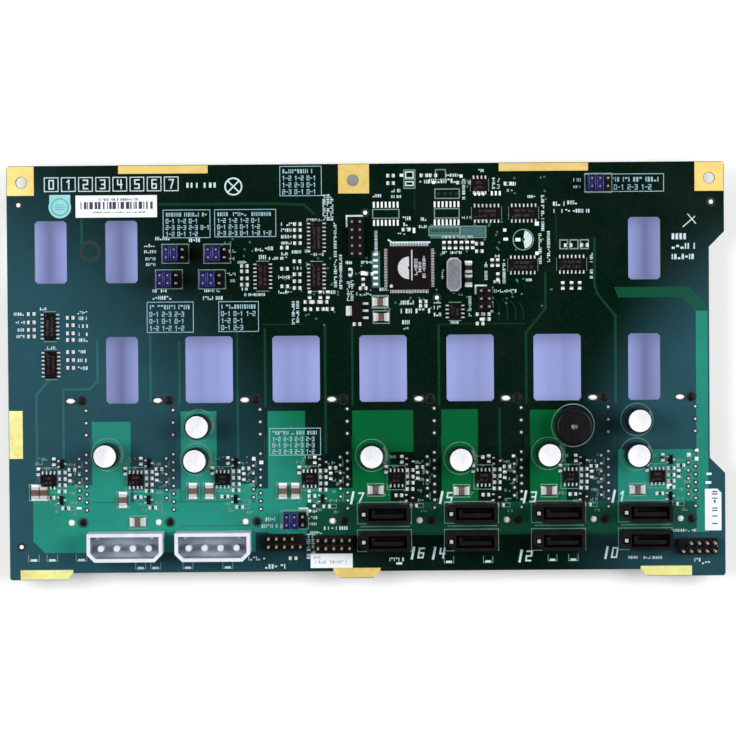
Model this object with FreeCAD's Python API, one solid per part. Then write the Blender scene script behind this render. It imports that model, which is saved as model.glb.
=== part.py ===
import FreeCAD, Part
import math
import os

# Drive backplane board for eight drive bays, in millimetres.
# The board lies flat with its component side up and stands on the eight drive connectors under it.
# The origin is the middle of the outline, on the surface that the connectors stand on. +Z is up.

# Board
board_width = 230.0
board_depth = 133.0
board_thickness = 1.6
tab_drop = 2.2
corner_radius = 1.0
notch_depth = 4.9
notch_top = 44.0
notch_bottom = -33.5
left_tab_end = -94.7
middle_tab_start = -11.1
middle_tab_end = 4.1
right_tab_start = 87.7
screw_y = 61.2
screw_span = 220.5
middle_screw_x = -3.9
screw_radius = 1.75

# Ground pads
pad_thickness = 0.05
pad_inset = 0.15
screw_pad_xs = (-106.2, -8.6, 1.3, 105.6)
screw_pad_bottom = 57.0
top_strip_xs = ((-79.1, -50.4), (42.9, 71.5))
top_strip_bottom = 63.8
side_strip_end = -110.5
side_strip_ys = (-27.4, -12.0)
tab_pad_xs = ((-111.6, -94.7), (-11.1, 4.1), (87.7, 104.2))
tab_pad_depth = 3.1

# Bays and windows
bay_count = 8
bay_pitch = 27.94
first_bay_x = -95.0
window_depth = 21.4
window_y = 0.8
window_middle_x = 5.4
wide_window = 15.2
narrow_window = 10.3
window_corner = 0.8
upper_window_depth = 20.0
upper_window_y = 38.8
upper_window_xs = (-101.0, -78.3, 89.4)

# Drive connector
connector_height = 8.6
connector_length = 44.6
connector_y = -27.9
flange_width = 7.4
flange_shift = 2.4
flange_thickness = 2.2
flange_corner = 0.9
tower_length = 36.3
tower_width = 5.0
tower_y = -26.56
tower_shift = 3.0
slot_width = 2.2
slot_depth = 5.8
ear_length = 2.4
ear_width = 4.2
ear_lead_in = 0.9
peg_shift = 3.65
peg_span = 39.1
peg_y = -28.55
peg_radius = 1.25
peg_hole_radius = 1.4
peg_gap = 0.2
contact_pitch = 1.27
power_contacts = 15
signal_contacts = 7
power_start = -11.3
signal_start = -34.2
slot_margin = 1.3
key_width = 1.2
key_depth = 1.0
contact_bow = 0.5
contact_bow_height = 1.6
contact_width = 0.8
contact_recess = 0.7
post_width = 2.0
post_depth = 0.8
post_rise = 0.5

# Headers
pin_pitch = 2.54
pin_size = 0.64
pin_base_height = 2.54
pin_length = 8.4
shunt_width = 2.3
shunt_length = 5.0
shunt_height = 6.0
power_pitch = 5.08
power_length = 24.0
power_depth = 9.1
power_height = 11.0
power_wall = 1.1
power_floor = 2.6
power_corner = 2.4
power_rib_span = 17.2
power_rib_width = 0.8
power_rib_depth = 0.7
power_rib_height = 7.0
power_pin_radius = 1.05
power_pin_top = 9.4
power_pin_shift = -0.3
data_length = 16.3
data_depth = 6.2
data_height = 8.4
data_floor = 1.8
data_cavity_length = 12.2
data_cavity_depth = 4.0
data_cavity_shift = 1.0
data_back_corner = 0.8
data_front_corner = (2.9, 2.1)
data_well = 2.0
data_well_floor = 3.0
tongue_length = 10.4
tongue_thickness = 1.2
tongue_top = 7.2
tongue_key = 2.4
tongue_shift = -0.5
data_post_size = 1.1
data_post_shift = 6.6
data_post_height = 3.2
data_contact_width = 0.7
data_contact_bow = 0.35

# Larger parts
capacitor_radius = 4.0
capacitor_height = 11.5
buzzer_radius = 6.0
buzzer_height = 9.5
buzzer_hole = 1.1
buzzer_hole_depth = 2.5
chip_size = 14.0
chip_height = 1.4
chip_leads = 25
chip_lead_pitch = 0.5
chip_reach = 8.0
chip_lead_width = 0.24
chip_draft = 0.12
crystal_length = 10.7
crystal_width = 4.65
crystal_height = 3.5
crystal_seat = 0.6
crystal_seat_end = 0.45
crystal_flange = 0.4
crystal_step = 0.4
crystal_corner = 1.2
small_outline_width = 3.9
small_outline_reach = 3.0
small_outline_height = 1.5
small_outline_lead = 0.45
small_outline_end = 0.25
regulator_size = (3.5, 6.5, 1.6)
regulator_standoff = 0.05
regulator_reach = 3.6
regulator_lead_height = 0.5
regulator_tab_width = 3.1
regulator_lead_width = 0.75
regulator_pitch = 2.3
bay_switch_length = 4.9
transistor_size = (1.3, 2.9, 1.0)
large_chip_size = (3.6, 2.4, 1.5)
small_chip_size = (1.6, 0.85, 0.5)
label_thickness = 0.1
standoff = 0.1

# Places on the board
controller_place = (14.0, 33.0)
crystal_place = (28.3, 30.8)
buzzer_place = (66.2, -17.9)
regulator_place = (-2.8, 19.4)
power_places = ((-77.35, -55.5), (-49.4, -55.5))
data_columns = (5.4, 33.35, 61.3, 89.25)
data_rows = (-45.6, -54.5)
capacitor_places = (
    (-83.3, -26.3), (-54.0, -17.2), (-54.8, -28.0), (1.5, -27.1),
    (29.9, -28.2), (58.1, -26.9), (86.8, -16.2), (86.5, -27.3),
)
small_outline_places = (
    (-101.4, 15.0, 14, True), (-101.2, 2.8, 14, True), (-33.0, 30.7, 14, True), (-15.8, 30.5, 14, True),
    (-15.7, 43.0, 16, True), (38.9, 50.3, 14, False), (50.8, 50.3, 14, False), (50.4, 33.7, 14, False),
    (66.1, 33.8, 14, False), (28.6, 18.95, 8, True), (36.7, 59.4, 8, False),
)
# Signal headers: name, pins along X, pins along Y, centre, and the key positions left without a pin.
signal_headers = (
    ("programming_header", 2, 5, -3.0, 42.7, ()),
    ("select_header", 2, 3, 38.1, 23.0, ()),
    ("sideband_header_1", 5, 2, -26.6, -54.6, (9,)),
    ("sideband_header_2", 5, 2, -10.8, -55.2, ()),
    ("sideband_header_3", 5, 2, 106.0, -56.9, (1,)),
)
jumper_places = (
    (-23.3, -47.6), (74.8, 59.8), (-61.0, 38.1),
    (-47.6, 38.0), (-63.1, 29.9), (-49.3, 29.8),
)
large_chip_places = (
    (-78.5, -40.8, True), (-56.0, -38.1, True), (-50.7, -38.1, True), (-27.1, -38.3, True),
    (-23.1, -38.3, True), (-106.6, -38.3, True), (-103.9, -38.3, True), (2.7, -38.2, False),
    (30.3, -38.7, False), (58.4, -38.8, False), (86.8, -38.7, False), (-73.8, -48.0, False),
    (4.9, 17.3, False), (4.6, 22.2, False),
)
# Parts beside each drive connector, measured from its solder posts: across, along the board, upright.
bay_switch_place = (-7.3, -34.4)
bay_transistor_places = ((-3.0, -29.1), (-3.2, -40.8))
bay_chip_places = (
    (-2.9, -31.9, False), (-2.9, -34.0, False), (-2.9, -36.0, False), (-3.0, -38.0, False),
    (-5.6, -28.4, True), (-10.6, -31.6, True), (0.2, -31.0, False), (-0.5, -33.6, True),
    (-6.6, -40.0, False), (-1.9, -43.4, False),
)
# Small chip parts elsewhere: centre, and upright or not.
free_chip_places = (
    [(-107.4, y, False) for y in (19.1, 16.4, 14.0, 11.9)]
    + [(-94.9, y, False) for y in (17.8, 15.4, 12.8, 10.7, 6.8, 4.2, 1.7)]
    + [(-38.9, y, False) for y in (34.0, 32.3, 30.0, 28.0)]
    + [(-26.0, y, False) for y in (39.8, 33.0, 27.4)]
    + [(x, 24.6, True) for x in (-18.0, -14.6, -12.2)]
    + [(x, 27.0, True) for x in (63.2, 66.0, 68.6)]
    + [(65.0, 39.9, False), (70.2, 39.9, False), (13.0, 45.3, False)]
    + [(36.5, y, False) for y in (40.6, 38.2)]
)
# Labels: name, length, width, centre. The seal is a disc with a square head.
label_places = (
    ("long_label", 26.1, 7.1, -79.8, 53.4),
    ("lower_label", 13.5, 4.6, -11.6, -60.9),
)
seal_place = (-97.9, 53.3)
seal_radius = 3.6
seal_head = (6.7, 3.8, 2.0)
side_label_place = (111.1, -45.3)
side_label_size = (5.3, 13.4)
side_label_cut = 1.3

board_bottom = connector_height
board_top = board_bottom + board_thickness
half_width = board_width / 2
half_depth = board_depth / 2
lower_edge = -half_depth + tab_drop
bay_xs = [first_bay_x + bay_pitch * bay for bay in range(bay_count)]


def point(x, y, z=0.0):
    return FreeCAD.Vector(x, y, z)


def block(size_x, size_y, size_z, x, y, z):
    # A box centred on x and y, with its underside at z.
    return Part.makeBox(size_x, size_y, size_z, point(x - size_x / 2, y - size_y / 2, z))


def cylinder(radius, height, x, y, z):
    return Part.makeCylinder(radius, height, point(x, y, z))


def prism(corners, height, z):
    # A flat outline raised by height from z.
    closed = [point(x, y, z) for x, y in corners + corners[:1]]
    return Part.Face(Part.makePolygon(closed)).extrude(point(0, 0, height))


def turned(profile, x, y, z):
    # A profile of radius and height pairs turned about a vertical axis at x, y.
    closed = [point(x + radius, y, z + height) for radius, height in profile + profile[:1]]
    face = Part.Face(Part.makePolygon(closed))
    return face.revolve(point(x, y, z), point(0, 0, 1), 360)


def upright_edges(solid, corners):
    # The vertical edges of a solid that stand over the given corners.
    found = []
    for edge in solid.Edges:
        start = edge.Vertexes[0].Point
        end = edge.Vertexes[-1].Point
        if abs(start.x - end.x) > 1e-6 or abs(start.y - end.y) > 1e-6:
            continue
        if any(math.hypot(start.x - x, start.y - y) < 1e-4 for x, y in corners):
            found.append(edge)
    return found


def box_corners(size_x, size_y, x, y):
    return [(x + side_x * size_x / 2, y + side_y * size_y / 2) for side_x in (-1, 1) for side_y in (-1, 1)]


def chamfered_block(size_x, size_y, size_z, x, y, z, chamfer):
    solid = block(size_x, size_y, size_z, x, y, z)
    return solid.makeChamfer(chamfer, upright_edges(solid, box_corners(size_x, size_y, x, y)))


def polygon(sides, radius, x, y):
    # The corners of a regular polygon with two of its sides along X.
    turns = [2 * math.pi * (step + 0.5) / sides for step in range(sides)]
    return [(x + radius * math.cos(turn), y + radius * math.sin(turn)) for turn in turns]


def save(name, solids):
    shape = solids[0] if len(solids) == 1 else Part.makeCompound(solids)
    shape.exportStep("parts/" + name + ".step")
    print(name, len(solids), "solids, volume", round(shape.Volume, 1))


# The board

def board_outline():
    right_inner = half_width - notch_depth
    return [
        (-half_width, half_depth),
        (half_width, half_depth),
        (half_width, notch_top),
        (right_inner, notch_top - notch_depth),
        (right_inner, notch_bottom + notch_depth),
        (half_width, notch_bottom),
        (half_width, -half_depth),
        (right_tab_start + tab_drop, -half_depth),
        (right_tab_start, lower_edge),
        (middle_tab_end, lower_edge),
        (middle_tab_end - tab_drop, -half_depth),
        (middle_tab_start + tab_drop, -half_depth),
        (middle_tab_start, lower_edge),
        (left_tab_end, lower_edge),
        (left_tab_end - tab_drop, -half_depth),
        (-half_width, -half_depth),
    ]


def window_places():
    # Centre, width and depth of each cut-out that lets air through to the drives.
    places = []
    for step in range(-3, 4):
        width = narrow_window if abs(step) == 3 else wide_window
        places.append((window_middle_x + bay_pitch * step, window_y, width, window_depth))
    for x in upper_window_xs:
        places.append((x, upper_window_y, narrow_window, upper_window_depth))
    return places


def screw_places():
    return [(-screw_span / 2, screw_y), (middle_screw_x, screw_y), (screw_span / 2, screw_y)]


def peg_ys():
    return (peg_y - peg_span / 2, peg_y + peg_span / 2)


def make_board():
    board = prism(board_outline(), board_thickness, board_bottom)
    outer = box_corners(board_width, board_depth, 0, 0)
    board = board.makeFillet(corner_radius, upright_edges(board, outer))
    below = board_bottom - 1
    tall = board_thickness + 2
    cuts = []
    for x, y, width, depth in window_places():
        cuts.append(chamfered_block(width, depth, tall, x, y, below, window_corner))
    for x, y in screw_places():
        cuts.append(cylinder(screw_radius, tall, x, y, below))
    for bay_x in bay_xs:
        for y in peg_ys():
            cuts.append(prism(polygon(8, peg_hole_radius, bay_x + peg_shift, y), tall, below))
            cuts.append(block(post_width, post_depth, tall, bay_x, y, below))
    return board.cut(Part.makeCompound(cuts))


def rectangle(left, right, bottom, top):
    return [(left, top), (right, top), (right, bottom), (left, bottom)]


def make_ground_pads():
    # Bare plated copper that meets the chassis, round the screws, along the edges and on the tabs.
    top = half_depth - pad_inset
    left = -half_width + pad_inset
    right = half_width - pad_inset
    tab = -half_depth + pad_inset
    plates = [
        rectangle(left, screw_pad_xs[0], screw_pad_bottom, top),
        rectangle(screw_pad_xs[1], screw_pad_xs[2], screw_pad_bottom, top),
        rectangle(screw_pad_xs[3], right, screw_pad_bottom, top),
        rectangle(left, side_strip_end, side_strip_ys[0], side_strip_ys[1]),
    ]
    for start, end in top_strip_xs:
        plates.append(rectangle(start, end, top_strip_bottom, top))
    for start, end in tab_pad_xs:
        plates.append(rectangle(start, end, tab, tab + tab_pad_depth))
    pads = [prism(plate, pad_thickness, board_top) for plate in plates]
    hole_radius = screw_radius + pad_inset
    holes = [prism(polygon(12, hole_radius, x, y), 1, board_top - 0.5) for x, y in screw_places()]
    inside = prism(board_outline(), 1, board_top - 0.5)
    trimmed = [pad.common(inside).cut(Part.makeCompound(holes)) for pad in pads]
    return [solid for pad in trimmed for solid in pad.Solids]


# Drive connectors, under the board

def contact_ys(start, count):
    return [start - contact_pitch * step for step in range(count)]


def slot_cut(start, count, x):
    # The mouth that takes one blade of the drive's plug, with its key at the far end.
    ys = contact_ys(start, count)
    length = ys[0] - ys[-1] + 2 * slot_margin
    middle = (ys[0] + ys[-1]) / 2
    mouth = block(slot_width, length, slot_depth, x, middle, 0)
    key_x = x - slot_width / 2 - key_depth / 2
    key = block(key_depth, key_width, slot_depth, key_x, middle - length / 2 + key_width / 2, 0)
    return mouth.fuse(key)


def make_drive_connector(bay_x):
    x = bay_x + tower_shift
    flange_z = connector_height - flange_thickness
    flange_x = bay_x + flange_shift
    flange = chamfered_block(flange_width, connector_length, flange_thickness, flange_x, connector_y,
                             flange_z, flange_corner)
    tower = block(tower_width, tower_length, flange_z, x, tower_y, 0)
    tower = tower.cut(slot_cut(power_start, power_contacts, x))
    tower = tower.cut(slot_cut(signal_start, signal_contacts, x))
    housing = flange.fuse(tower)
    half_ear = ear_width / 2
    for side in (-1, 1):
        y = tower_y + side * (tower_length + ear_length) / 2 - ear_length / 2
        ear = Part.makePolygon([
            point(x - half_ear, y, flange_z),
            point(x - half_ear, y, ear_lead_in),
            point(x - half_ear + ear_lead_in, y, 0),
            point(x + half_ear - ear_lead_in, y, 0),
            point(x + half_ear, y, ear_lead_in),
            point(x + half_ear, y, flange_z),
            point(x - half_ear, y, flange_z),
        ])
        housing = housing.fuse(Part.Face(ear).extrude(point(0, ear_length, 0)))
    for y in peg_ys():
        peg = prism(polygon(6, peg_radius, bay_x + peg_shift, y), board_thickness - peg_gap, connector_height)
        housing = housing.fuse(peg)
    return housing.removeSplitter()


def make_drive_contacts(bay_x):
    # Bowed springs that face each other across the slots, and the two posts soldered in the board.
    x = bay_x + tower_shift
    strips = []
    places = contact_ys(power_start, power_contacts) + contact_ys(signal_start, signal_contacts)
    for index, y in enumerate(places):
        side = 1 if index % 2 == 0 else -1
        wall = x + side * slot_width / 2
        edge = y - contact_width / 2
        bow = Part.makePolygon([
            point(wall, edge, contact_recess),
            point(wall - side * contact_bow, edge, contact_recess + contact_bow_height),
            point(wall, edge, slot_depth),
            point(wall, edge, contact_recess),
        ])
        strips.append(Part.Face(bow).extrude(point(0, contact_width, 0)))
    for y in peg_ys():
        strips.append(block(post_width, post_depth, board_thickness + post_rise, bay_x, y, connector_height))
    return strips


# Power and data headers

def power_outline(inset):
    half_x = power_length / 2 - inset
    half_y = power_depth / 2 - inset
    corner = power_corner - inset * (2 - math.sqrt(2))
    return [
        (-half_x, half_y),
        (half_x, half_y),
        (half_x, -half_y + corner),
        (half_x - corner, -half_y),
        (-half_x + corner, -half_y),
        (-half_x, -half_y + corner),
    ]


def moved(corners, x, y):
    return [(x + corner_x, y + corner_y) for corner_x, corner_y in corners]


def make_power_header(x, y):
    shell = prism(moved(power_outline(0), x, y), power_height, board_top)
    hollow = prism(moved(power_outline(power_wall), x, y), power_height, board_top + power_floor)
    shell = shell.cut(hollow)
    wall_y = y + power_depth / 2 - power_wall
    for side in (-1, 1):
        rib_x = x + side * power_rib_span / 2
        rib = block(power_rib_width, power_rib_depth, power_rib_height, rib_x, wall_y - power_rib_depth / 2,
                    board_top + power_floor)
        shell = shell.fuse(rib)
    return shell


def make_power_pins(x, y):
    height = power_pin_top - power_floor
    pin_y = y + power_pin_shift
    pins = []
    for step in range(4):
        pin_x = x + power_pitch * (step - 1.5)
        section = polygon(8, power_pin_radius, pin_x, pin_y)
        pins.append(prism(section, height, board_top + power_floor))
    return pins


def make_data_header(x, y):
    half_x = data_length / 2
    half_y = data_depth / 2
    shell = prism(moved([
        (-half_x + data_back_corner, half_y),
        (half_x, half_y),
        (half_x, -half_y),
        (-half_x + data_front_corner[0], -half_y),
        (-half_x, -half_y + data_front_corner[1]),
        (-half_x, half_y - data_back_corner),
    ], x, y), data_height, board_top)
    floor = board_top + data_floor
    cavity_x = x + data_cavity_shift
    hollow = block(data_cavity_length, data_cavity_depth, data_height, cavity_x, y, floor)
    well = block(data_well, data_well, data_height, x - data_post_shift, y, floor + data_well_floor)
    shell = shell.cut(hollow).cut(well)
    tongue_y = y + tongue_shift
    height = tongue_top - data_floor
    tongue = block(tongue_length, tongue_thickness, height, cavity_x, tongue_y, floor)
    key_x = cavity_x - tongue_length / 2 + tongue_thickness / 2
    key_y = tongue_y + tongue_thickness / 2 + (tongue_key - tongue_thickness) / 2
    key = block(tongue_thickness, tongue_key - tongue_thickness, height, key_x, key_y, floor)
    return shell.fuse(tongue).fuse(key).removeSplitter()


def make_data_contacts(x, y):
    # Seven bowed springs on the face of the tongue, and the post at the end of the header.
    face_y = y + tongue_shift - tongue_thickness / 2
    floor = board_top + data_floor
    springs = []
    for step in range(signal_contacts):
        edge = x + data_cavity_shift + contact_pitch * (step - 3) - data_contact_width / 2
        bow = Part.makePolygon([
            point(edge, face_y, floor),
            point(edge, face_y - data_contact_bow, board_top + tongue_top - contact_bow_height),
            point(edge, face_y, board_top + tongue_top - contact_recess),
            point(edge, face_y, floor),
        ])
        springs.append(Part.Face(bow).extrude(point(data_contact_width, 0, 0)))
    springs.append(block(data_post_size, data_post_size, data_post_height, x - data_post_shift, y,
                         floor + data_well_floor))
    return springs


# Pin headers. Each is a row count along X, a row count along Y and a centre.

def make_pin_base(columns, rows, x, y):
    return block(columns * pin_pitch, rows * pin_pitch, pin_base_height, x, y, board_top)


def pin_places(columns, rows, x, y):
    return [
        (x + pin_pitch * (column - (columns - 1) / 2), y + pin_pitch * (row - (rows - 1) / 2))
        for column in range(columns)
        for row in range(rows)
    ]


def make_pins(columns, rows, x, y, missing=()):
    pins = []
    for index, (pin_x, pin_y) in enumerate(pin_places(columns, rows, x, y)):
        if index in missing:
            continue
        height = pin_length - pin_base_height
        pins.append(block(pin_size, pin_size, height, pin_x, pin_y, board_top + pin_base_height))
    return pins


def make_shunt(x, y):
    # A jumper cap over the two pins of a column, open at the top and sitting on the pin base.
    floor = board_top + pin_base_height
    cap = block(shunt_width, shunt_length, shunt_height, x, y, floor)
    return cap.cut(block(pin_size, pin_pitch + pin_size, shunt_height, x, y, floor))


# Parts in cans

def make_capacitor(x, y):
    return cylinder(capacitor_radius, capacitor_height, x, y, board_top)


def make_buzzer(x, y):
    return turned([
        (0, 0),
        (buzzer_radius, 0),
        (buzzer_radius, buzzer_height),
        (buzzer_hole, buzzer_height),
        (buzzer_hole, buzzer_height - buzzer_hole_depth),
        (0, buzzer_height - buzzer_hole_depth),
    ], x, y, board_top)


def stadium(width, length, height, x, y, z):
    radius = width / 2
    middle = block(width, length - width, height, x, y, z)
    for side in (-1, 1):
        middle = middle.fuse(cylinder(radius, height, x, y + side * (length - width) / 2, z))
    return middle.removeSplitter()


def make_crystal(x, y):
    # A can with a pressed flange, on its plastic seat.
    base = block(crystal_width, crystal_length + 2 * crystal_seat_end, crystal_seat, x, y, board_top)
    flange_z = board_top + crystal_seat
    flange = chamfered_block(crystal_width, crystal_length, crystal_flange, x, y, flange_z, crystal_corner)
    can_z = flange_z + crystal_flange
    can = stadium(crystal_width - 2 * crystal_step, crystal_length - 2 * crystal_step,
                  crystal_height - crystal_seat - crystal_flange, x, y, can_z)
    return [base, flange.fuse(can).removeSplitter()]


# Chips

def tapered_body(size_x, size_y, height, x, y, z):
    # A moulded body whose sides draw in above and below its parting line.
    draft = chip_draft
    waist = (size_x / 2, size_y / 2, z + height / 2)
    lower = [(size_x / 2 - draft, size_y / 2 - draft, z), waist]
    upper = [waist, (size_x / 2 - draft, size_y / 2 - draft, z + height)]
    halves = []
    for pair in (lower, upper):
        wires = []
        for half_x, half_y, level in pair:
            ring = [(-half_x, -half_y), (half_x, -half_y), (half_x, half_y), (-half_x, half_y)]
            ring.append(ring[0])
            wires.append(Part.makePolygon([point(x + dx, y + dy, level) for dx, dy in ring]))
        halves.append(Part.makeLoft(wires, True, True))
    return halves[0].fuse(halves[1])


def make_lead_row(x, y, body_half, reach, height, width, pitch, count, direction):
    # One row of wedge-shaped leads that leave a body towards +X, -X, +Y or -Y and land on the board.
    step_x, step_y = direction
    leads = []
    for index in range(count):
        along = pitch * (index - (count - 1) / 2) - width / 2
        corners = []
        for out, level in ((body_half, 0), (body_half, height), (reach, 0)):
            corner_x = x + step_x * out - step_y * along
            corner_y = y + step_y * out + step_x * along
            corners.append(point(corner_x, corner_y, board_top + level))
        corners.append(corners[0])
        sweep = point(-step_y * width, step_x * width, 0)
        leads.append(Part.Face(Part.makePolygon(corners)).extrude(sweep))
    return leads


def make_controller():
    x, y = controller_place
    body = tapered_body(chip_size, chip_size, chip_height, x, y, board_top + standoff)
    leads = []
    for direction in ((1, 0), (-1, 0), (0, 1), (0, -1)):
        leads += make_lead_row(x, y, chip_size / 2, chip_reach, standoff + chip_height / 2,
                               chip_lead_width, chip_lead_pitch, chip_leads, direction)
    return body, leads


def small_outline(x, y, pins, upright):
    # A small-outline chip. Upright ones have their long side along Y and their leads towards X.
    length = contact_pitch * pins / 2 - small_outline_end
    size = (small_outline_width, length) if upright else (length, small_outline_width)
    body = block(size[0], size[1], small_outline_height - standoff, x, y, board_top + standoff)
    leads = []
    directions = ((1, 0), (-1, 0)) if upright else ((0, 1), (0, -1))
    for direction in directions:
        leads += make_lead_row(x, y, small_outline_width / 2, small_outline_reach, small_outline_height / 2,
                               small_outline_lead, contact_pitch, pins // 2, direction)
    return body, leads


def make_regulator(x, y):
    width, length, height = regulator_size
    body = block(width, length, height, x, y, board_top + regulator_standoff)
    tab = make_lead_row(x, y, width / 2, regulator_reach, regulator_lead_height, regulator_tab_width,
                        regulator_pitch, 1, (-1, 0))
    leads = make_lead_row(x, y, width / 2, regulator_reach, regulator_lead_height, regulator_lead_width,
                          regulator_pitch, 3, (1, 0))
    return body, tab + leads


def make_chip(size, x, y, upright):
    length, width, height = size
    if upright:
        return block(width, length, height, x, y, board_top)
    return block(length, width, height, x, y, board_top)


def make_bay_parts(size, places):
    # The same blocks beside each drive connector.
    return [block(*size, bay_x + x, y, board_top) for bay_x in bay_xs for x, y in places]


def make_labels():
    labels = {}
    for name, size_x, size_y, x, y in label_places:
        labels[name] = block(size_x, size_y, label_thickness, x, y, board_top)
    x, y = seal_place
    head_width, head_depth, head_shift = seal_head
    seal = cylinder(seal_radius, label_thickness, x, y, board_top)
    head = block(head_width, head_depth, label_thickness, x, y + head_shift, board_top)
    labels["round_seal"] = seal.fuse(head).removeSplitter()
    x, y = side_label_place
    half_x = side_label_size[0] / 2
    half_y = side_label_size[1] / 2
    corners = [(-half_x, half_y), (half_x - side_label_cut, half_y), (half_x, half_y - side_label_cut),
               (half_x, -half_y), (-half_x, -half_y)]
    labels["side_label"] = prism(moved(corners, x, y), label_thickness, board_top)
    return labels


def main():
    os.makedirs("parts", exist_ok=True)
    save("board", [make_board()])
    save("ground_pads", make_ground_pads())
    for bay, bay_x in enumerate(bay_xs, 1):
        save("drive_connector_%d" % bay, [make_drive_connector(bay_x)])
        save("drive_contacts_%d" % bay, make_drive_contacts(bay_x))
    for number, (x, y) in enumerate(power_places, 1):
        save("power_header_%d" % number, [make_power_header(x, y)])
    save("power_pins", [pin for x, y in power_places for pin in make_power_pins(x, y)])
    contacts = []
    for column, x in enumerate(data_columns):
        for row, y in enumerate(data_rows):
            save("data_header_%d" % (2 * column + row + 1), [make_data_header(x, y)])
            contacts += make_data_contacts(x, y)
    save("data_contacts", contacts)
    save("bulk_capacitors", [make_capacitor(x, y) for x, y in capacitor_places])
    save("buzzer", [make_buzzer(*buzzer_place)])
    body, leads = make_controller()
    save("controller_chip", [body])
    save("controller_leads", leads)
    base, can = make_crystal(*crystal_place)
    save("crystal_base", [base])
    save("crystal_can", [can])
    chips = [small_outline(*place) for place in small_outline_places]
    save("logic_chips", [body for body, leads in chips])
    save("logic_leads", [lead for body, leads in chips for lead in leads])
    switch_size = (bay_switch_length, small_outline_width, small_outline_height)
    save("bay_switches", make_bay_parts(switch_size, [bay_switch_place]))
    save("bay_transistors", make_bay_parts(transistor_size, bay_transistor_places))
    body, leads = make_regulator(*regulator_place)
    save("regulator", [body])
    save("regulator_leads", leads)
    pins = []
    for name, columns, rows, x, y, missing in signal_headers:
        save(name, [make_pin_base(columns, rows, x, y)])
        pins += make_pins(columns, rows, x, y, missing)
    save("jumper_bases", [make_pin_base(3, 2, x, y) for x, y in jumper_places])
    for x, y in jumper_places:
        pins += make_pins(3, 2, x, y)
    save("header_pins", pins)
    shunts = []
    for x, y in jumper_places:
        shunts += [make_shunt(x - pin_pitch, y), make_shunt(x, y)]
    save("jumper_shunts", shunts)
    save("chip_capacitors", [make_chip(large_chip_size, *place) for place in large_chip_places])
    small = [make_chip(small_chip_size, *place) for place in free_chip_places]
    for bay_x in bay_xs:
        small += [make_chip(small_chip_size, bay_x + x, y, upright) for x, y, upright in bay_chip_places]
    save("chip_resistors", small)
    for name, label in make_labels().items():
        save(name, [label])


main()
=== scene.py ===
import bpy
import bmesh
import math
import random
from mathutils import Matrix, Vector


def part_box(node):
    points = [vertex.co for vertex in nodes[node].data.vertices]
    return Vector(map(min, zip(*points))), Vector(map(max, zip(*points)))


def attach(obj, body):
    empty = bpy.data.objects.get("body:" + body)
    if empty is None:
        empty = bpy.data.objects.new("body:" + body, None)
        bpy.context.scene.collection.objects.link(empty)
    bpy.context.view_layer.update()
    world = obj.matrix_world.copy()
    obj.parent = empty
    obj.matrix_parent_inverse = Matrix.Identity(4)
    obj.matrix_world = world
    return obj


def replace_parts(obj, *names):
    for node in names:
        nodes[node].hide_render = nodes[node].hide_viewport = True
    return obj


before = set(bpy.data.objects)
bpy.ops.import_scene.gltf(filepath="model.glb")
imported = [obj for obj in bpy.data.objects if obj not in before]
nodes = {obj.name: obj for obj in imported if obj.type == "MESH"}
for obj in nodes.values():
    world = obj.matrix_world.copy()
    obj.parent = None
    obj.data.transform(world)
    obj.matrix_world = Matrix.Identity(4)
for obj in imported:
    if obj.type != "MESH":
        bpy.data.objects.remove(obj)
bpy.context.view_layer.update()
scene = bpy.context.scene
print("frame loaded with", len(nodes), "nodes")

# Places are in millimetres, in the frame of the board. Every piece is scaled to metres when it is finished.
toMetres = 0.001
hair = 0.001  # what each next flat shape is raised by, so that no two tops coincide
sharpAngle = math.radians(38)  # edges sharper than this stay sharp on smooth pieces
fullTurn = 2 * math.pi


def nodeBox(node):
    low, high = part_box(node)
    return low / toMetres, high / toMetres


def middle(box):
    return (box[0] + box[1]) / 2


def solidBoxes(node):
    # Lowest and highest corner of each separate solid in a node.
    bm = bmesh.new()
    bm.from_mesh(nodes[node].data)
    bmesh.ops.remove_doubles(bm, verts=bm.verts, dist=1e-6)
    seen = set()
    boxes = []
    for start in bm.verts:
        if start in seen:
            continue
        seen.add(start)
        group = [start]
        for vert in group:
            for edge in vert.link_edges:
                other = edge.other_vert(vert)
                if other not in seen:
                    seen.add(other)
                    group.append(other)
        low = Vector([min(vert.co[axis] for vert in group) for axis in range(3)]) / toMetres
        high = Vector([max(vert.co[axis] for vert in group) for axis in range(3)]) / toMetres
        boxes.append((low, high))
    bm.free()
    return boxes


boardLow, boardHigh = nodeBox("board")
boardTop = boardHigh.z
boardUnder = boardLow.z
pinPitch = 2.54
leadPitch = 1.27
flangeShift = 2.4  # from a bay's solder posts to the middle of its connector's flange
bayNumbers = range(1, 9)
driveConnectors = ["drive_connector_%d" % number for number in bayNumbers]
driveContacts = ["drive_contacts_%d" % number for number in bayNumbers]
dataHeaders = ["data_header_%d" % number for number in bayNumbers]
headerBoxes = [nodeBox(node) for node in dataHeaders]
bayXs = [middle(nodeBox(node)).x - flangeShift for node in driveConnectors]

# Shapes


def addBlock(bm, x, y, z, sizeX, sizeY, sizeZ, turn=0.0):
    # A block centred on x and y, with its underside at z.
    place = Matrix.Translation((x, y, z + sizeZ / 2)) @ Matrix.Rotation(turn, 4, "Z")
    place = place @ Matrix.Diagonal((sizeX, sizeY, sizeZ, 1))
    return bmesh.ops.create_cube(bm, size=1, matrix=place)["verts"]


def addGrownBlock(bm, box, grow, z, height):
    # A block over the footprint of a box, grown on every side.
    size = box[1] - box[0]
    x, y = middle(box).xy
    return addBlock(bm, x, y, z, size.x + 2 * grow, size.y + 2 * grow, height)


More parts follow.
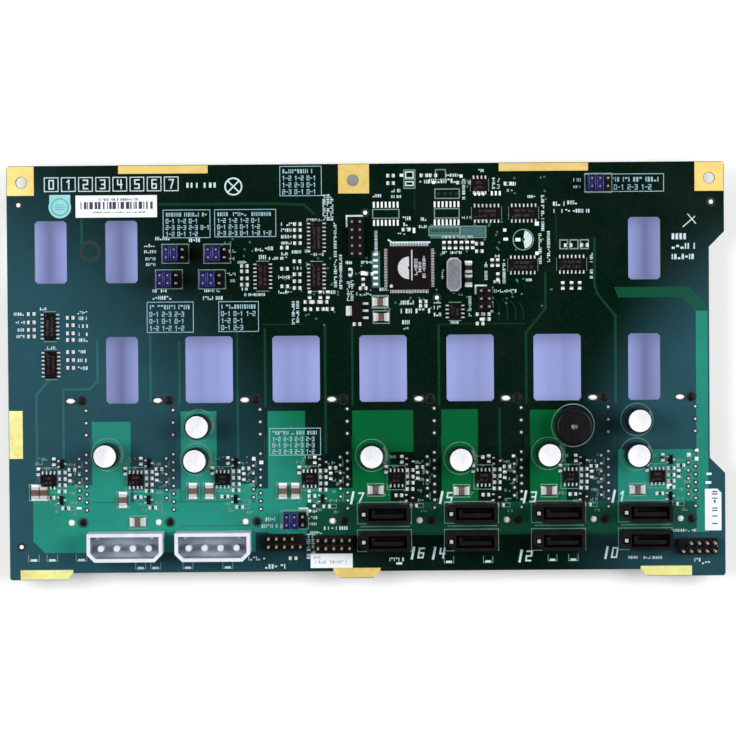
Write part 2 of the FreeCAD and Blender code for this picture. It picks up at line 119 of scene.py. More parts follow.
def addStroke(bm, start, end, width, z, height):
    # A straight bar from start to end, with square ends half a width past them.
    height += hair * (len(bm.verts) // 8 % 7)
    dx = end[0] - start[0]
    dy = end[1] - start[1]
    x = (start[0] + end[0]) / 2
    y = (start[1] + end[1]) / 2
    return addBlock(bm, x, y, z, math.hypot(dx, dy) + width, width, height, math.atan2(dy, dx))


def addRoute(bm, points, width, z, height):
    for start, end in zip(points, points[1:]):
        addStroke(bm, start, end, width, z, height)


def addCone(bm, x, y, z, bottom, top, height, segments=16):
    place = Matrix.Translation((x, y, z + height / 2))
    return bmesh.ops.create_cone(bm, cap_ends=True, segments=segments, radius1=bottom, radius2=top,
                                 depth=height, matrix=place)["verts"]


def addTurned(bm, profile, x, y, z, segments=48):
    # A profile of radius and height pairs, from the axis back to the axis, turned a full circle.
    first = len(bm.verts)
    chain = [bm.verts.new((x + radius, y, z + height)) for radius, height in profile]
    edges = [bm.edges.new(pair) for pair in zip(chain, chain[1:])]
    bmesh.ops.spin(bm, geom=chain + edges, cent=(x, y, z), axis=(0, 0, 1), angle=fullTurn, steps=segments,
                   use_merge=True)
    bm.verts.ensure_lookup_table()
    poles = [vert for vert in bm.verts[first:] if math.hypot(vert.co.x - x, vert.co.y - y) < 1e-3]
    bmesh.ops.remove_doubles(bm, verts=poles, dist=1e-3)


def addRing(bm, x, y, z, outer, inner, height, segments=40, start=0.0, sweep=fullTurn):
    # A flat ring, or a part of one that begins at the angle start.
    corners = [bm.verts.new((x + radius, y, z + level))
               for radius, level in ((inner, 0), (outer, 0), (outer, height), (inner, height))]
    bmesh.ops.rotate(bm, cent=(x, y, z), matrix=Matrix.Rotation(start, 3, "Z"), verts=corners)
    full = sweep > fullTurn - 0.001
    edges = [bm.edges.new((corners[index], corners[index - 1])) for index in range(4)]
    section = [] if full else [bm.faces.new(corners)]
    bmesh.ops.spin(bm, geom=corners + edges + section, cent=(x, y, z), axis=(0, 0, 1), angle=sweep,
                   steps=max(3, round(segments * sweep / fullTurn)), use_merge=full)


def addSwept(bm, corners, move):
    # A flat face through the corners, swept into a closed solid.
    face = bm.faces.new([bm.verts.new(corner) for corner in corners])
    made = bmesh.ops.extrude_face_region(bm, geom=[face])["geom"]
    bmesh.ops.translate(bm, vec=move, verts=vertsIn(made))
    ends = [face] + [item for item in made if isinstance(item, bmesh.types.BMFace)]
    sides = {near for end in ends for edge in end.edges for near in edge.link_faces}
    bmesh.ops.recalc_face_normals(bm, faces=list(sides))


def addPlate(bm, corners, z, height):
    # A flat outline raised by height from z.
    addSwept(bm, [(x, y, z) for x, y in corners], (0, 0, height))


def vertsIn(items):
    return [item for item in items if isinstance(item, bmesh.types.BMVert)]


def topFace(verts):
    faces = {face for vert in verts for face in vert.link_faces}
    return max(faces, key=lambda face: face.calc_center_median().z)


def scaleRound(bm, x, y, sizeX, sizeY, verts):
    # Scales corners about the upright axis at x and y.
    bmesh.ops.scale(bm, vec=(sizeX, sizeY, 1), space=Matrix.Translation((-x, -y, 0)), verts=verts)


def bevelEdges(bm, edges, offset, segments=1):
    bmesh.ops.bevel(bm, geom=list(edges), offset=offset, affect="EDGES", segments=segments, profile=0.5,
                    material=-1)


def finishPiece(name, bm, look, smooth=False):
    # A piece in metres with the named finish.
    bmesh.ops.recalc_face_normals(bm, faces=bm.faces)
    bmesh.ops.scale(bm, vec=(toMetres, toMetres, toMetres), verts=bm.verts)
    mesh = bpy.data.meshes.new(name)
    bm.to_mesh(mesh)
    bm.free()
    mesh.materials.append(finish[look])
    if smooth:
        mesh.polygons.foreach_set("use_smooth", [True] * len(mesh.polygons))
        mesh.set_sharp_from_angle(angle=sharpAngle)
    piece = bpy.data.objects.new(name, mesh)
    scene.collection.objects.link(piece)
    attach(piece, "root")
    return piece


# Finishes


def displayColor(red, green, blue):
    # A shader colour from the 0 to 255 values that it shows as.
    values = []
    for value in (red / 255, green / 255, blue / 255):
        values.append(value / 12.92 if value <= 0.04045 else ((value + 0.055) / 1.055) ** 2.4)
    return (*values, 1.0)


def addNode(tree, kind, inputs=None, **settings):
    made = tree.nodes.new(kind)
    for key, value in settings.items():
        setattr(made, key, value)
    for key, value in (inputs or {}).items():
        if isinstance(value, bpy.types.NodeSocket):
            tree.links.new(value, made.inputs[key])
        else:
            made.inputs[key].default_value = value
    return made


def mathOf(tree, operation, *values):
    return addNode(tree, "ShaderNodeMath", dict(enumerate(values)), operation=operation).outputs["Value"]


def startMaterial(name, settings):
    # A material with its shader, and the place on the piece for its patterns to read.
    material = bpy.data.materials.new(name)
    material.use_nodes = True
    tree = material.node_tree
    shader = tree.nodes["Principled BSDF"]
    for key, value in settings.items():
        shader.inputs[key].default_value = value
    place = tree.nodes.new("ShaderNodeTexCoord").outputs["Object"]
    return material, tree, shader, place


def noiseOf(tree, place, scale, detail=3.0, roughness=0.55):
    return addNode(tree, "ShaderNodeTexNoise", {"Vector": place, "Scale": scale, "Detail": detail,
                                                "Roughness": roughness}).outputs["Fac"]


def rangeOf(tree, value, fromLow, fromHigh, toLow, toHigh):
    return addNode(tree, "ShaderNodeMapRange", {"Value": value, "From Min": fromLow, "From Max": fromHigh,
                                                "To Min": toLow, "To Max": toHigh}).outputs["Result"]


def blendOf(tree, share, first, second, mode="MIX"):
    # Two colours mixed, where share is a number or a socket.
    made = addNode(tree, "ShaderNodeMix", data_type="RGBA", blend_type=mode)
    for index, value in ((0, share), (6, first), (7, second)):
        if isinstance(value, bpy.types.NodeSocket):
            tree.links.new(value, made.inputs[index])
        else:
            made.inputs[index].default_value = value
    return made.outputs[2]


def bumpOf(tree, height, strength, distance):
    return addNode(tree, "ShaderNodeBump", {"Height": height, "Strength": strength,
                                            "Distance": distance}).outputs["Normal"]


paintedSheen = {  # painted reflection of the side lamps: the paler, bluer tone at the two ends of the board
    "ovals": ((0.5, -0.136, -0.028, 0.118, 0.140),  # lean, centre and reach of each
              (-0.25, 0.1285, -0.018, 0.062, 0.085)),
    "soft": 0.55,  # how much of the reach the tone takes to fade
}


def sheenOf(tree, place, soft):
    # The share of the painted reflection at the two ends of the board, at a place.
    parts = addNode(tree, "ShaderNodeSeparateXYZ", {"Vector": place})
    shares = []
    for lean, centreX, centreY, reachX, reachY in paintedSheen["ovals"]:
        along = mathOf(tree, "MULTIPLY_ADD", parts.outputs["Y"], lean, parts.outputs["X"])
        spot = addNode(tree, "ShaderNodeCombineXYZ", {
            "X": mathOf(tree, "MULTIPLY_ADD", along, 1 / reachX, -centreX / reachX),
            "Y": mathOf(tree, "MULTIPLY_ADD", parts.outputs["Y"], 1 / reachY, -centreY / reachY)})
        length = addNode(tree, "ShaderNodeVectorMath", {0: spot.outputs["Vector"]}, operation="LENGTH")
        shares.append(addNode(tree, "ShaderNodeMapRange", {
            "Value": length.outputs["Value"], "From Min": 1.0, "From Max": 1.0 - soft, "To Min": 0.0,
            "To Max": 1.0}, interpolation_type="SMOOTHSTEP").outputs["Result"])
    return mathOf(tree, "MAXIMUM", *shares)


def waveOf(tree, place, scale, distortion, direction):
    return addNode(tree, "ShaderNodeTexWave", {"Vector": place, "Scale": scale, "Distortion": distortion},
                   bands_direction=direction).outputs["Fac"]


def maskMaterial(name, centre, side, roughness=0.3, weave=0.12, soft=paintedSheen["soft"]):
    # Solder mask: glossy, over a laminate whose glass weave just shows, with laminate on its cut edges.
    # Towards the ends of the board the centre colour turns to the side colour, a painted reflection of the
    # side lamps.
    material, tree, shader, place = startMaterial(name, {"Roughness": roughness, "Specular IOR Level": 0.1})
    paintedSheenShare = sheenOf(tree, place, soft)
    base = blendOf(tree, paintedSheenShare, displayColor(*centre), displayColor(*side))
    cloud = noiseOf(tree, place, 60.0, 4.0)
    grain = noiseOf(tree, place, 1400.0, 2.0)
    base = blendOf(tree, rangeOf(tree, cloud, 0.35, 0.7, 0.0, 0.25), base, displayColor(2, 20, 14))
    base = blendOf(tree, rangeOf(tree, grain, 0.45, 0.8, 0.0, 0.06), base, displayColor(60, 110, 90))
    normal = tree.nodes.new("ShaderNodeNewGeometry").outputs["Normal"]
    upward = addNode(tree, "ShaderNodeSeparateXYZ", {"Vector": normal}).outputs["Z"]
    edge = rangeOf(tree, mathOf(tree, "ABSOLUTE", upward), 0.6, 0.3, 0.0, 1.0)
    layers = waveOf(tree, place, 900.0, 1.5, "Z")
    laminate = blendOf(tree, layers, displayColor(112, 124, 62), displayColor(164, 160, 96))
    tree.links.new(blendOf(tree, edge, base, laminate), shader.inputs["Base Color"])
    threads = [waveOf(tree, place, 520.0, 0.6, direction) for direction in ("X", "Y")]
    cloth = mathOf(tree, "ADD", *threads)
    tree.links.new(bumpOf(tree, cloth, weave, 0.00002), shader.inputs["Normal"])
    gloss = rangeOf(tree, cloud, 0.3, 0.75, roughness - 0.05, roughness + 0.12)
    tree.links.new(gloss, shader.inputs["Roughness"])
    return material


def stretchedOf(tree, place, times):
    # The place with its second axis stretched, for grain that runs one way.
    return addNode(tree, "ShaderNodeMapping", {"Vector": place, "Scale": (1, times, 1)}).outputs["Vector"]


def metalMaterial(name, color, dull, roughness, metallic=1.0, grain=900.0, side=None, scratches=0.0):
    # Plated metal: a clean tone with duller patches, and fine scratches where it is handled.
    material, tree, shader, place = startMaterial(name, {"Metallic": metallic})
    cloud = noiseOf(tree, place, grain / 6, 4.0)
    fine = noiseOf(tree, place, grain, 2.0)
    base = displayColor(*color)
    # The side colour, blended in towards the ends of the board, is a painted reflection of the side lamps.
    if side:
        base = blendOf(tree, sheenOf(tree, place, paintedSheen["soft"]), base, displayColor(*side))
    base = blendOf(tree, rangeOf(tree, cloud, 0.45, 0.75, 0.0, 0.6), base, displayColor(*dull))
    tree.links.new(base, shader.inputs["Base Color"])
    gloss = rangeOf(tree, fine, 0.3, 0.7, roughness - 0.07, roughness + 0.1)
    tree.links.new(gloss, shader.inputs["Roughness"])
    height = fine
    if scratches:
        lines = noiseOf(tree, stretchedOf(tree, place, 14), 700.0, 2.0)
        height = blendOf(tree, scratches, fine, lines)
    tree.links.new(bumpOf(tree, height, 0.15, 0.00003), shader.inputs["Normal"])
    return material


def plasticMaterial(name, color, worn, roughness, grain=2600.0, bump=0.25, coat=0.0, shine=0.16):
    # Moulded plastic: a fine spark-eroded grain, slightly paler where the mould left its skin.
    material, tree, shader, place = startMaterial(name, {"Coat Weight": coat, "Coat Roughness": 0.2,
                                                         "Specular IOR Level": shine})
    cloud = noiseOf(tree, place, 240.0, 4.0)
    fine = noiseOf(tree, place, grain, 3.0)
    base = blendOf(tree, rangeOf(tree, cloud, 0.4, 0.75, 0.0, 1.0), displayColor(*color), displayColor(*worn))
    tree.links.new(base, shader.inputs["Base Color"])
    gloss = rangeOf(tree, fine, 0.3, 0.7, roughness - 0.08, roughness + 0.1)
    tree.links.new(gloss, shader.inputs["Roughness"])
    tree.links.new(bumpOf(tree, fine, bump, 0.00004), shader.inputs["Normal"])
    return material


def paperMaterial(name, color, shade):
    # Coated paper: short fibres, and a faint yellowing in patches.
    material, tree, shader, place = startMaterial(name, {"Roughness": 0.6, "Specular IOR Level": 0.2})
    cloud = noiseOf(tree, place, 120.0, 4.0)
    fibre = noiseOf(tree, stretchedOf(tree, place, 3), 3200.0, 4.0)
    aged = rangeOf(tree, cloud, 0.35, 0.8, 0.0, 0.7)
    base = blendOf(tree, aged, displayColor(*color), displayColor(*shade))
    tree.links.new(base, shader.inputs["Base Color"])
    tree.links.new(bumpOf(tree, fibre, 0.3, 0.00002), shader.inputs["Normal"])
    return material


def inkMaterial(name, color, thin, roughness=0.5):
    # Screen-printed ink, thinner where the mesh of the screen left it.
    material, tree, shader, place = startMaterial(name, {"Roughness": roughness})
    fine = noiseOf(tree, place, 2200.0, 3.0)
    base = blendOf(tree, rangeOf(tree, fine, 0.45, 0.75, 0.0, 0.8), displayColor(*color), displayColor(*thin))
    tree.links.new(base, shader.inputs["Base Color"])
    tree.links.new(bumpOf(tree, fine, 0.2, 0.00002), shader.inputs["Normal"])
    return material


finish = {
    # The side colour of each mask and of the gold is a painted reflection of the side lamps at the two ends
    # of the board.
    "mask": maskMaterial("green_solder_mask", (0, 21, 10), (39, 79, 91)),
    "pour": maskMaterial("mask_over_copper", (1, 99, 52), (39, 142, 125), 0.28, 0.04, 0.28),
    "innerPour": maskMaterial("mask_over_inner_copper", (14, 74, 50), (27, 90, 76), 0.28, 0.06),
    "track": maskMaterial("mask_over_tracks", (16, 58, 40), (46, 104, 102), 0.28, 0.04),
    "gold": metalMaterial("gold_plate", (246, 216, 128), (230, 196, 104), 0.42, 0.4, side=(250, 254, 170),
                          scratches=0.5),
    "contact": metalMaterial("contact_gold", (226, 186, 104), (190, 150, 80), 0.32),
    "tin": metalMaterial("bright_tin", (234, 236, 240), (200, 203, 208), 0.36, 0.2, scratches=0.4),
    "solder": metalMaterial("solder_joints", (250, 252, 252), (232, 236, 236), 0.34, 0.0),
    "ends": metalMaterial("chip_end_tin", (206, 210, 212), (168, 174, 176), 0.36, 0.3),
    "pinGold": metalMaterial("pale_gold_pins", (216, 206, 186), (182, 170, 148), 0.34, 0.4),
    "slotContact": metalMaterial("slot_contact_gold", (164, 104, 84), (120, 76, 62), 0.4, 0.5),
    "can": metalMaterial("capacitor_can", (244, 245, 247), (226, 228, 234), 0.45, 0.25, scratches=0.6),
    "crystal": metalMaterial("crystal_can_steel", (146, 148, 158), (124, 124, 136), 0.4, 0.6, scratches=0.8),
    "flange": metalMaterial("crystal_flange_steel", (214, 218, 224), (190, 192, 200), 0.4, 0.4),
    "black": plasticMaterial("black_moulding", (11, 10, 12), (22, 18, 21), 0.42),
    "sleeve": plasticMaterial("capacitor_sleeve", (12, 14, 18), (22, 24, 30), 0.35),
    "resin": plasticMaterial("chip_resin", (13, 7, 9), (22, 13, 16), 0.55, 3000.0, 0.4, shine=0.08),
    "nylon": plasticMaterial("white_nylon", (228, 232, 240), (212, 216, 230), 0.42),
    # Painted shade: a greyer nylon for the faces down in the power headers' hollows.
    "nylonShade": plasticMaterial("painted_shade_white_nylon", (180, 192, 204), (168, 168, 192), 0.5),
    "blue": plasticMaterial("blue_jumper_plastic", (18, 22, 96), (40, 46, 140), 0.35, shine=0.5),
    "ceramicTan": plasticMaterial("tan_ceramic", (116, 90, 80), (92, 70, 64), 0.5),
    "ceramicDark": plasticMaterial("dark_ceramic", (36, 34, 40), (58, 56, 64), 0.4),
    "paper": paperMaterial("label_paper", (240, 244, 250), (226, 230, 236)),
    "sealPaper": paperMaterial("teal_seal_paper", (160, 214, 222), (120, 196, 200)),
    "silk": inkMaterial("white_silk_ink", (206, 230, 236), (144, 176, 176)),
    "print": inkMaterial("dark_label_ink", (38, 40, 54), (80, 84, 98)),
    "marking": inkMaterial("chip_marking", (206, 206, 214), (150, 148, 156)),
    "sealPrint": inkMaterial("seal_ink", (62, 168, 166), (110, 200, 196)),
    "silkThin": inkMaterial("thin_silk_ink", (120, 150, 142), (84, 122, 112)),
    "faintMarking": inkMaterial("faint_chip_marking", (56, 42, 46), (40, 28, 32)),
    "faintPrint": inkMaterial("faint_label_ink", (150, 154, 166), (190, 194, 204)),
    "via": inkMaterial("masked_vias", (92, 146, 132), (50, 106, 92), 0.3),
    "bare": inkMaterial("bare_laminate", (6, 14, 9), (14, 24, 14)),
    "tableInk": inkMaterial("worn_silk_ink", (152, 190, 204), (106, 148, 156)),
    "patch": inkMaterial("pale_mask_patches", (66, 108, 106), (48, 88, 84), 0.35),
    "stampInk": inkMaterial("dark_stamp_ink", (8, 26, 28), (20, 44, 50)),
}

for slot, looks in (
        ("solder_mask", "mask pour innerPour track silk silkThin tableInk stampInk via bare patch"),
        ("gold_plating", "gold"), ("contact_gold", "contact pinGold slotContact"),
        ("tin_plate", "tin solder ends"), ("capacitor_can", "can sleeve"),
        ("crystal_steel", "crystal flange"), ("black_plastic", "black"),
        ("chip_resin", "resin marking faintMarking"), ("white_nylon", "nylon nylonShade"),
        ("blue_plastic", "blue"), ("ceramic_tan", "ceramicTan ceramicDark"),
        ("label_white", "paper print faintPrint"), ("label_teal", "sealPaper sealPrint")):
    dict.fromkeys(looks.split(), slot)
print("finishes made:", len(finish))


def dress(node, look):
    # Gives a CAD node its finish.
    mesh = nodes[node].data
    mesh.materials.clear()
    mesh.materials.append(finish[look])


def addSecondLook(node, look, fits):
    # A second finish on the faces whose middle passes a test.
    mesh = nodes[node].data
    mesh.materials.append(finish[look])
    for polygon in mesh.polygons:
        if fits(polygon.center / toMetres):
            polygon.material_index = 1


for look, dressed in (
        ("mask", ["board"]), ("gold", ["ground_pads"]),
        ("black", driveConnectors + dataHeaders + ["crystal_base"]), ("contact", driveContacts),
        ("nylon", ["power_header_1", "power_header_2"]), ("tin", ["power_pins"]),
        ("slotContact", ["data_contacts"]), ("crystal", ["crystal_can"]), ("ceramicTan", ["chip_capacitors"]),
        ("ceramicDark", ["chip_resistors"]), ("paper", ["long_label", "lower_label", "side_label"]),
        ("sealPaper", ["round_seal"])):
    for node in dressed:
        dress(node, look)

second = {
    "wall": 1.0,  # thickness of a power header's walls
    "lip": 0.1,
    "endContact": 3.2,  # length of a data header at its keyed end
    "flangeHeight": 0.9,
}


def inHollow(low, high):
    # A test for the faces down in a moulding's hollow, where the nylon is painted darker as shade.
    wall, lip = second["wall"], second["lip"]
    return lambda spot: (low.x + wall < spot.x < high.x - wall and low.y + wall < spot.y < high.y - wall
                         and low.z + lip < spot.z < high.z - lip)


def atKeyedEnd(spot):
    return any(low.x < spot.x < low.x + second["endContact"] and low.y < spot.y < high.y
               for low, high in headerBoxes)


# The faces down in each power header's hollow take the greyer nylon, as painted shade.
for node in ("power_header_1", "power_header_2"):
    addSecondLook(node, "nylonShade", inHollow(*nodeBox(node)))
addSecondLook("data_contacts", "ends", atKeyedEnd)
flangeTop = nodeBox("crystal_can")[0].z + second["flangeHeight"]
addSecondLook("crystal_can", "flange", lambda spot: spot.z < flangeTop)
print("nodes dressed")

# Copper under the mask

copper = {
    "pourHeight": 0.012,
    "innerHeight": 0.008,
    # Left, right, low and high, or corners: round the power headers, beside them, and up the right edge.
    "planes": [
        [(-107.4, -36.0), (-88.3, -36.0), (-88.3, -41.7), (-36.0, -41.7), (-36.0, -57.8), (-103.6, -57.8),
         (-107.4, -54.0)],
        (-48.1, -36.0, -41.5, -36.0), (-75.0, -60.0, -41.5, -37.5), (-36.0, -4.6, -42.1, -37.5),
        (-36.0, -19.5, -51.6, -42.1), (80.6, 105.6, -42.5, -25.8), (105.8, 109.6, -52.5, 18.6)],
    "inner": [
        (-19.4, 105.6, -52.8, -42.2),
        [(79.6, 26.4), (103.6, 26.4), (109.6, 20.4), (109.6, 18.8), (105.8, 18.8), (101.6, 23.0),
         (81.0, 23.0)]],
    "trackHeight": 0.03,
    "columnStart": 7.3,  # from a bay's solder posts to the copper column beside them
    "columns": ((0, -0.6, 12.4, -15.7, -41.5), (1, 0.0, 11.5, -12.5, -41.5), (2, 0.0, 12.0, -12.6, -52.6),
                (3, -0.8, 19.6, -12.6, -26.0), (3, -0.8, 12.2, -26.2, -41.8), (4, -0.1, 11.7, -12.5, -42.0),
                (5, 0.4, 11.6, -12.8, -42.0)),
}


def addPours(bm, shapes, height):
    # Flat shapes of copper, each next one a hair higher.
    for level, shape in enumerate(shapes):
        if len(shape) == 4 and not isinstance(shape[0], tuple):
            left, right, low, high = shape
            shape = [(left, low), (right, low), (right, high), (left, high)]
        addPlate(bm, shape, boardTop, height + hair * level)


def makePours():
    shapes = []
    for bay, shift, width, top, bottom in copper["columns"]:
        left = bayXs[bay] + copper["columnStart"] + shift
        shapes.append((left, left + width, bottom, top))
    for name, pours, height, look in (
            ("copper_pours", shapes + copper["planes"], copper["pourHeight"], "pour"),
            ("inner_copper", copper["inner"], copper["innerHeight"], "innerPour")):
        bm = bmesh.new()
        addPours(bm, pours, height)
        finishPiece(name, bm, look)


makePours()
print("copper pours made")

# Capacitors: a can in a black sleeve that laps over the rim, a scored vent and a bead near the board

capacitor = {
    "topInset": 0.45,  # width of the sleeve's lap on the top
    "bead": 1.7,  # height of the rolled bead over the board
    "lidDepth": 0.1,
    "ventReach": 2.3,
    "ventWidth": 0.16,
    "ventHeight": 0.03,
}


def makeCapacitors():
    sleeves = bmesh.new()
    cans = bmesh.new()
    vents = bmesh.new()
    bead = capacitor["bead"]
    lid = capacitor["lidDepth"]
    for box in solidBoxes("bulk_capacitors"):
        x, y = middle(box).xy
        radius = (box[1].x - box[0].x) / 2
        height = box[1].z - boardTop
        inner = radius - capacitor["topInset"]
        addTurned(sleeves, [
            (0, 0.12), (radius - 0.35, 0.12), (radius - 0.05, 0.5), (radius, 0.9), (radius, bead - 0.5),
            (radius - 0.3, bead), (radius, bead + 0.5), (radius, height - 0.4), (radius - 0.12, height - 0.1),
            (radius - 0.35, height), (inner, height - 0.03), (inner, height - 0.3), (0, height - 0.3)],
                  x, y, boardTop)
        addTurned(cans, [
            (0, height - 0.35), (inner - 0.02, height - 0.35), (inner - 0.02, height - 0.06),
            (inner - 0.2, height - 0.02), (inner - 0.45, height - lid), (0, height - lid)], x, y, boardTop)
        for turn in (90, 210, 330):
            angle = math.radians(turn + 7 * x)
            reach = capacitor["ventReach"]
            end = (x + reach * math.cos(angle), y + reach * math.sin(angle))
            addStroke(vents, (x, y), end, capacitor["ventWidth"], boardTop + height - lid,
                      capacitor["ventHeight"])
    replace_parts(finishPiece("capacitor_sleeves", sleeves, "sleeve", True), "bulk_capacitors")
    finishPiece("capacitor_tops", cans, "can", True)
    finishPiece("capacitor_vents", vents, "tin")


makeCapacitors()
print("capacitors made")

# Buzzer

buzzer = {"ringGap": 0.75, "ringDepth": 0.16, "ringWidth": 0.42, "hole": 1.1, "holeDepth": 2.4}


def makeBuzzer():
    low, high = nodeBox("buzzer")
    x, y = middle((low, high)).xy
    radius = (high.x - low.x) / 2
    height = high.z - boardTop
    hole = buzzer["hole"]
    floor = height - buzzer["holeDepth"]
    profile = [(0, 0), (radius - 0.3, 0), (radius, 0.3), (radius, height - 0.8), (radius - 0.2, height - 0.3),
               (radius - 0.7, height)]
    ring = radius - 1.3
    while ring > hole + 1.2:  # concentric grooves in the lid
        depth = height - buzzer["ringDepth"]
        inner = ring - buzzer["ringWidth"]
        profile += [(ring, height), (ring - 0.12, depth), (ring - 0.3, depth), (inner, height)]
        ring = inner - buzzer["ringGap"]
    profile += [(hole + 0.25, height), (hole, height - 0.25), (hole, floor), (0, floor)]
    bm = bmesh.new()
    addTurned(bm, profile, x, y, boardTop, 64)
    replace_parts(finishPiece("buzzer_shell", bm, "black", True), "buzzer")
    bm = bmesh.new()
    plate = hole - 0.05
    addTurned(bm, [(0, -0.05), (plate, -0.05), (plate, 0.12), (0, 0.35)], x, y, boardTop + floor, 24)
    finishPiece("buzzer_plate", bm, "solder", True)


makeBuzzer()
print("buzzer made")

# Chips: bodies with a parting line, and bent leads

chips = {"draft": 0.1, "round": 0.08, "leadThickness": 0.15}


def addChipBody(bm, box):
    # A moulded body that draws in above and below its parting line.
    size = box[1] - box[0]
    x, y, z = middle(box)
    verts = addBlock(bm, x, y, box[0].z, *size)
    parts = {item for vert in verts for item in (vert, *vert.link_edges, *vert.link_faces)}
    bmesh.ops.bisect_plane(bm, geom=list(parts), plane_co=(x, y, z), plane_no=(0, 0, 1))
    draft = 2 * chips["draft"]
    scaleRound(bm, x, y, 1 - draft / size.x, 1 - draft / size.y, verts)
    top = z + size.z / 4
    rim = {edge for vert in verts for edge in vert.link_edges if min(end.co.z for end in edge.verts) > top}
    bevelEdges(bm, rim, chips["round"])


def addLead(bm, box, direction, thickness):
    # A gull-wing lead over the footprint of a box, leaving its chip in a direction.
    low, high = box
    x, y = middle(box).xy
    alongX, alongY = direction
    length, width = (high - low).xy if alongX else (high - low).yx
    top = high.z - boardTop
    corners = []
    for share, level in ((0, top), (0.3, top), (0.55, thickness), (1, thickness), (1, 0), (0.45, 0),
                         (0.2, top - thickness), (0, top - thickness)):
        out = (share - 0.5) * length
        corners.append((x + alongX * out - alongY * width / 2, y + alongY * out - alongX * width / 2,
                        boardTop + level))
    addSwept(bm, corners, (alongY * width, alongX * width, 0))


def leadDirection(lead, bodies):
    # The side of the nearest body that a lead is on.
    x, y = middle(lead).xy
    best = None
    for low, high in bodies:
        offX = max(low.x - x, 0, x - high.x)
        offY = max(low.y - y, 0, y - high.y)
        if best is None or offX + offY < best[0]:
            centre = middle((low, high))
            if offX > offY:
                direction = (1 if x > centre.x else -1, 0)
            else:
                direction = (0, 1 if y > centre.y else -1)
            best = (offX + offY, direction)
    return best[1]


def makeChips():
    for bodyNode, leadNode, bodyName, leadName in (
            ("logic_chips", "logic_leads", "logic_bodies", "logic_gull_leads"),
            ("controller_chip", "controller_leads", "controller_body", "controller_gull_leads"),
            ("regulator", "regulator_leads", "regulator_body", "regulator_gull_leads")):
        bodies = solidBoxes(bodyNode)
        bm = bmesh.new()
        for box in bodies:
            addChipBody(bm, box)
        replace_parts(finishPiece(bodyName, bm, "resin"), bodyNode)
        bm = bmesh.new()
        for box in solidBoxes(leadNode):
            addLead(bm, box, leadDirection(box, bodies), chips["leadThickness"])
        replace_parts(finishPiece(leadName, bm, "tin"), leadNode)


makeChips()
print("chips made")

# Pin headers: plastic bases in cells, square pins with tapered ends, and the tails under the board

header = {
    "bases": ("programming_header", "select_header", "sideband_header_1", "sideband_header_2",
              "sideband_header_3", "jumper_bases"),
    "cellCorner": 0.4,
    "tip": 0.5,
    "tipSize": 0.45,  # share of the pin's width
    "seat": 0.2,  # depth of a pin in its base
    "tail": 1.5,
    "jointTop": 0.75,
    "jointHeight": 0.6,
}
jumperCap = {"round": 0.22, "rim": 0.42, "slotDepth": 0.9}


def addPin(bm, x, y, z, size, length, tip):
    verts = addBlock(bm, x, y, z, size, size, length - tip)
    lid = topFace(verts)
    raised = vertsIn(bmesh.ops.extrude_face_region(bm, geom=[lid])["geom"])
    bmesh.ops.delete(bm, geom=[lid], context="FACES_ONLY")
    bmesh.ops.translate(bm, vec=(0, 0, tip), verts=raised)
    scaleRound(bm, x, y, header["tipSize"], header["tipSize"], raised)


def addCells(bm, low, high):
    # A base as one cell a pin, each with its upright edges cut off.
    for column in range(round((high.x - low.x) / pinPitch)):
        for row in range(round((high.y - low.y) / pinPitch)):
            x = low.x + pinPitch * (column + 0.5)
            y = low.y + pinPitch * (row + 0.5)
            verts = addBlock(bm, x, y, low.z, pinPitch, pinPitch, high.z - low.z)
            upright = {edge for vert in verts for edge in vert.link_edges
                       if abs(edge.verts[0].co.z - edge.verts[1].co.z) > 1}
            bevelEdges(bm, upright, header["cellCorner"])


def makeHeaders():
    bm = bmesh.new()
    for node in header["bases"]:
        for low, high in solidBoxes(node):
            addCells(bm, low, high)
    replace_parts(finishPiece("header_bases", bm, "black"), *header["bases"])
    bm = bmesh.new()
    joints = bmesh.new()
    tail, seat, jointHeight = header["tail"], header["seat"], header["jointHeight"]
    for low, high in solidBoxes("header_pins"):
        x, y = middle((low, high)).xy
        size = high.x - low.x
        addPin(bm, x, y, low.z - seat, size, high.z - low.z + seat, header["tip"])
        addBlock(bm, x, y, boardUnder - tail, size, size, tail)
        addCone(joints, x, y, boardUnder - jointHeight, size / 2 + 0.05, header["jointTop"], jointHeight, 12)
    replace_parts(finishPiece("header_posts", bm, "pinGold"), "header_pins")
    finishPiece("header_joints", joints, "solder", True)


def makeCaps():
    # Jumper caps: rounded blue boxes with a slot across the top.
    bm = bmesh.new()
    for low, high in solidBoxes("jumper_shunts"):
        x, y, z = middle((low, high))
        verts = addBlock(bm, x, y, low.z, *(high - low))
        edges = {edge for vert in verts for edge in vert.link_edges
                 if max(end.co.z for end in edge.verts) > z}
        bevelEdges(bm, edges, jumperCap["round"], 2)
        near = [face for face in bm.faces if (face.calc_center_median().xy - Vector((x, y))).length < 0.3]
        lid = max(near, key=lambda face: face.calc_center_median().z)
        bmesh.ops.inset_region(bm, faces=[lid], thickness=jumperCap["rim"], depth=0)
        bmesh.ops.translate(bm, vec=(0, 0, -jumperCap["slotDepth"]), verts=list(lid.verts))
    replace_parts(finishPiece("jumper_caps", bm, "blue", True), "jumper_shunts")


makeHeaders()
makeCaps()
print("pin headers made")

# Copper tracks and vias under the mask

tracks = {
    "wide": 0.8,
    "narrow": 0.3,
    "pair": 0.24,
    "viaRadius": 0.33,
    "viaHole": 0.16,
    "viaHeight": 0.035,
    "viaSeed": 7,
    "bayVias": 14,
    "viaFields": ((-26.5, -8.5, 24, 37, 34), (2, 34, 18, 26, 26), (32, 62, 38, 62, 30), (22, 33, 36, 42, 10),
                  (-47, -36, 36, 43, 10), (40, 60, 18, 30, 16), (-6, 3, 24, 38, 22), (-20, -10, 14, 20, 8)),
}


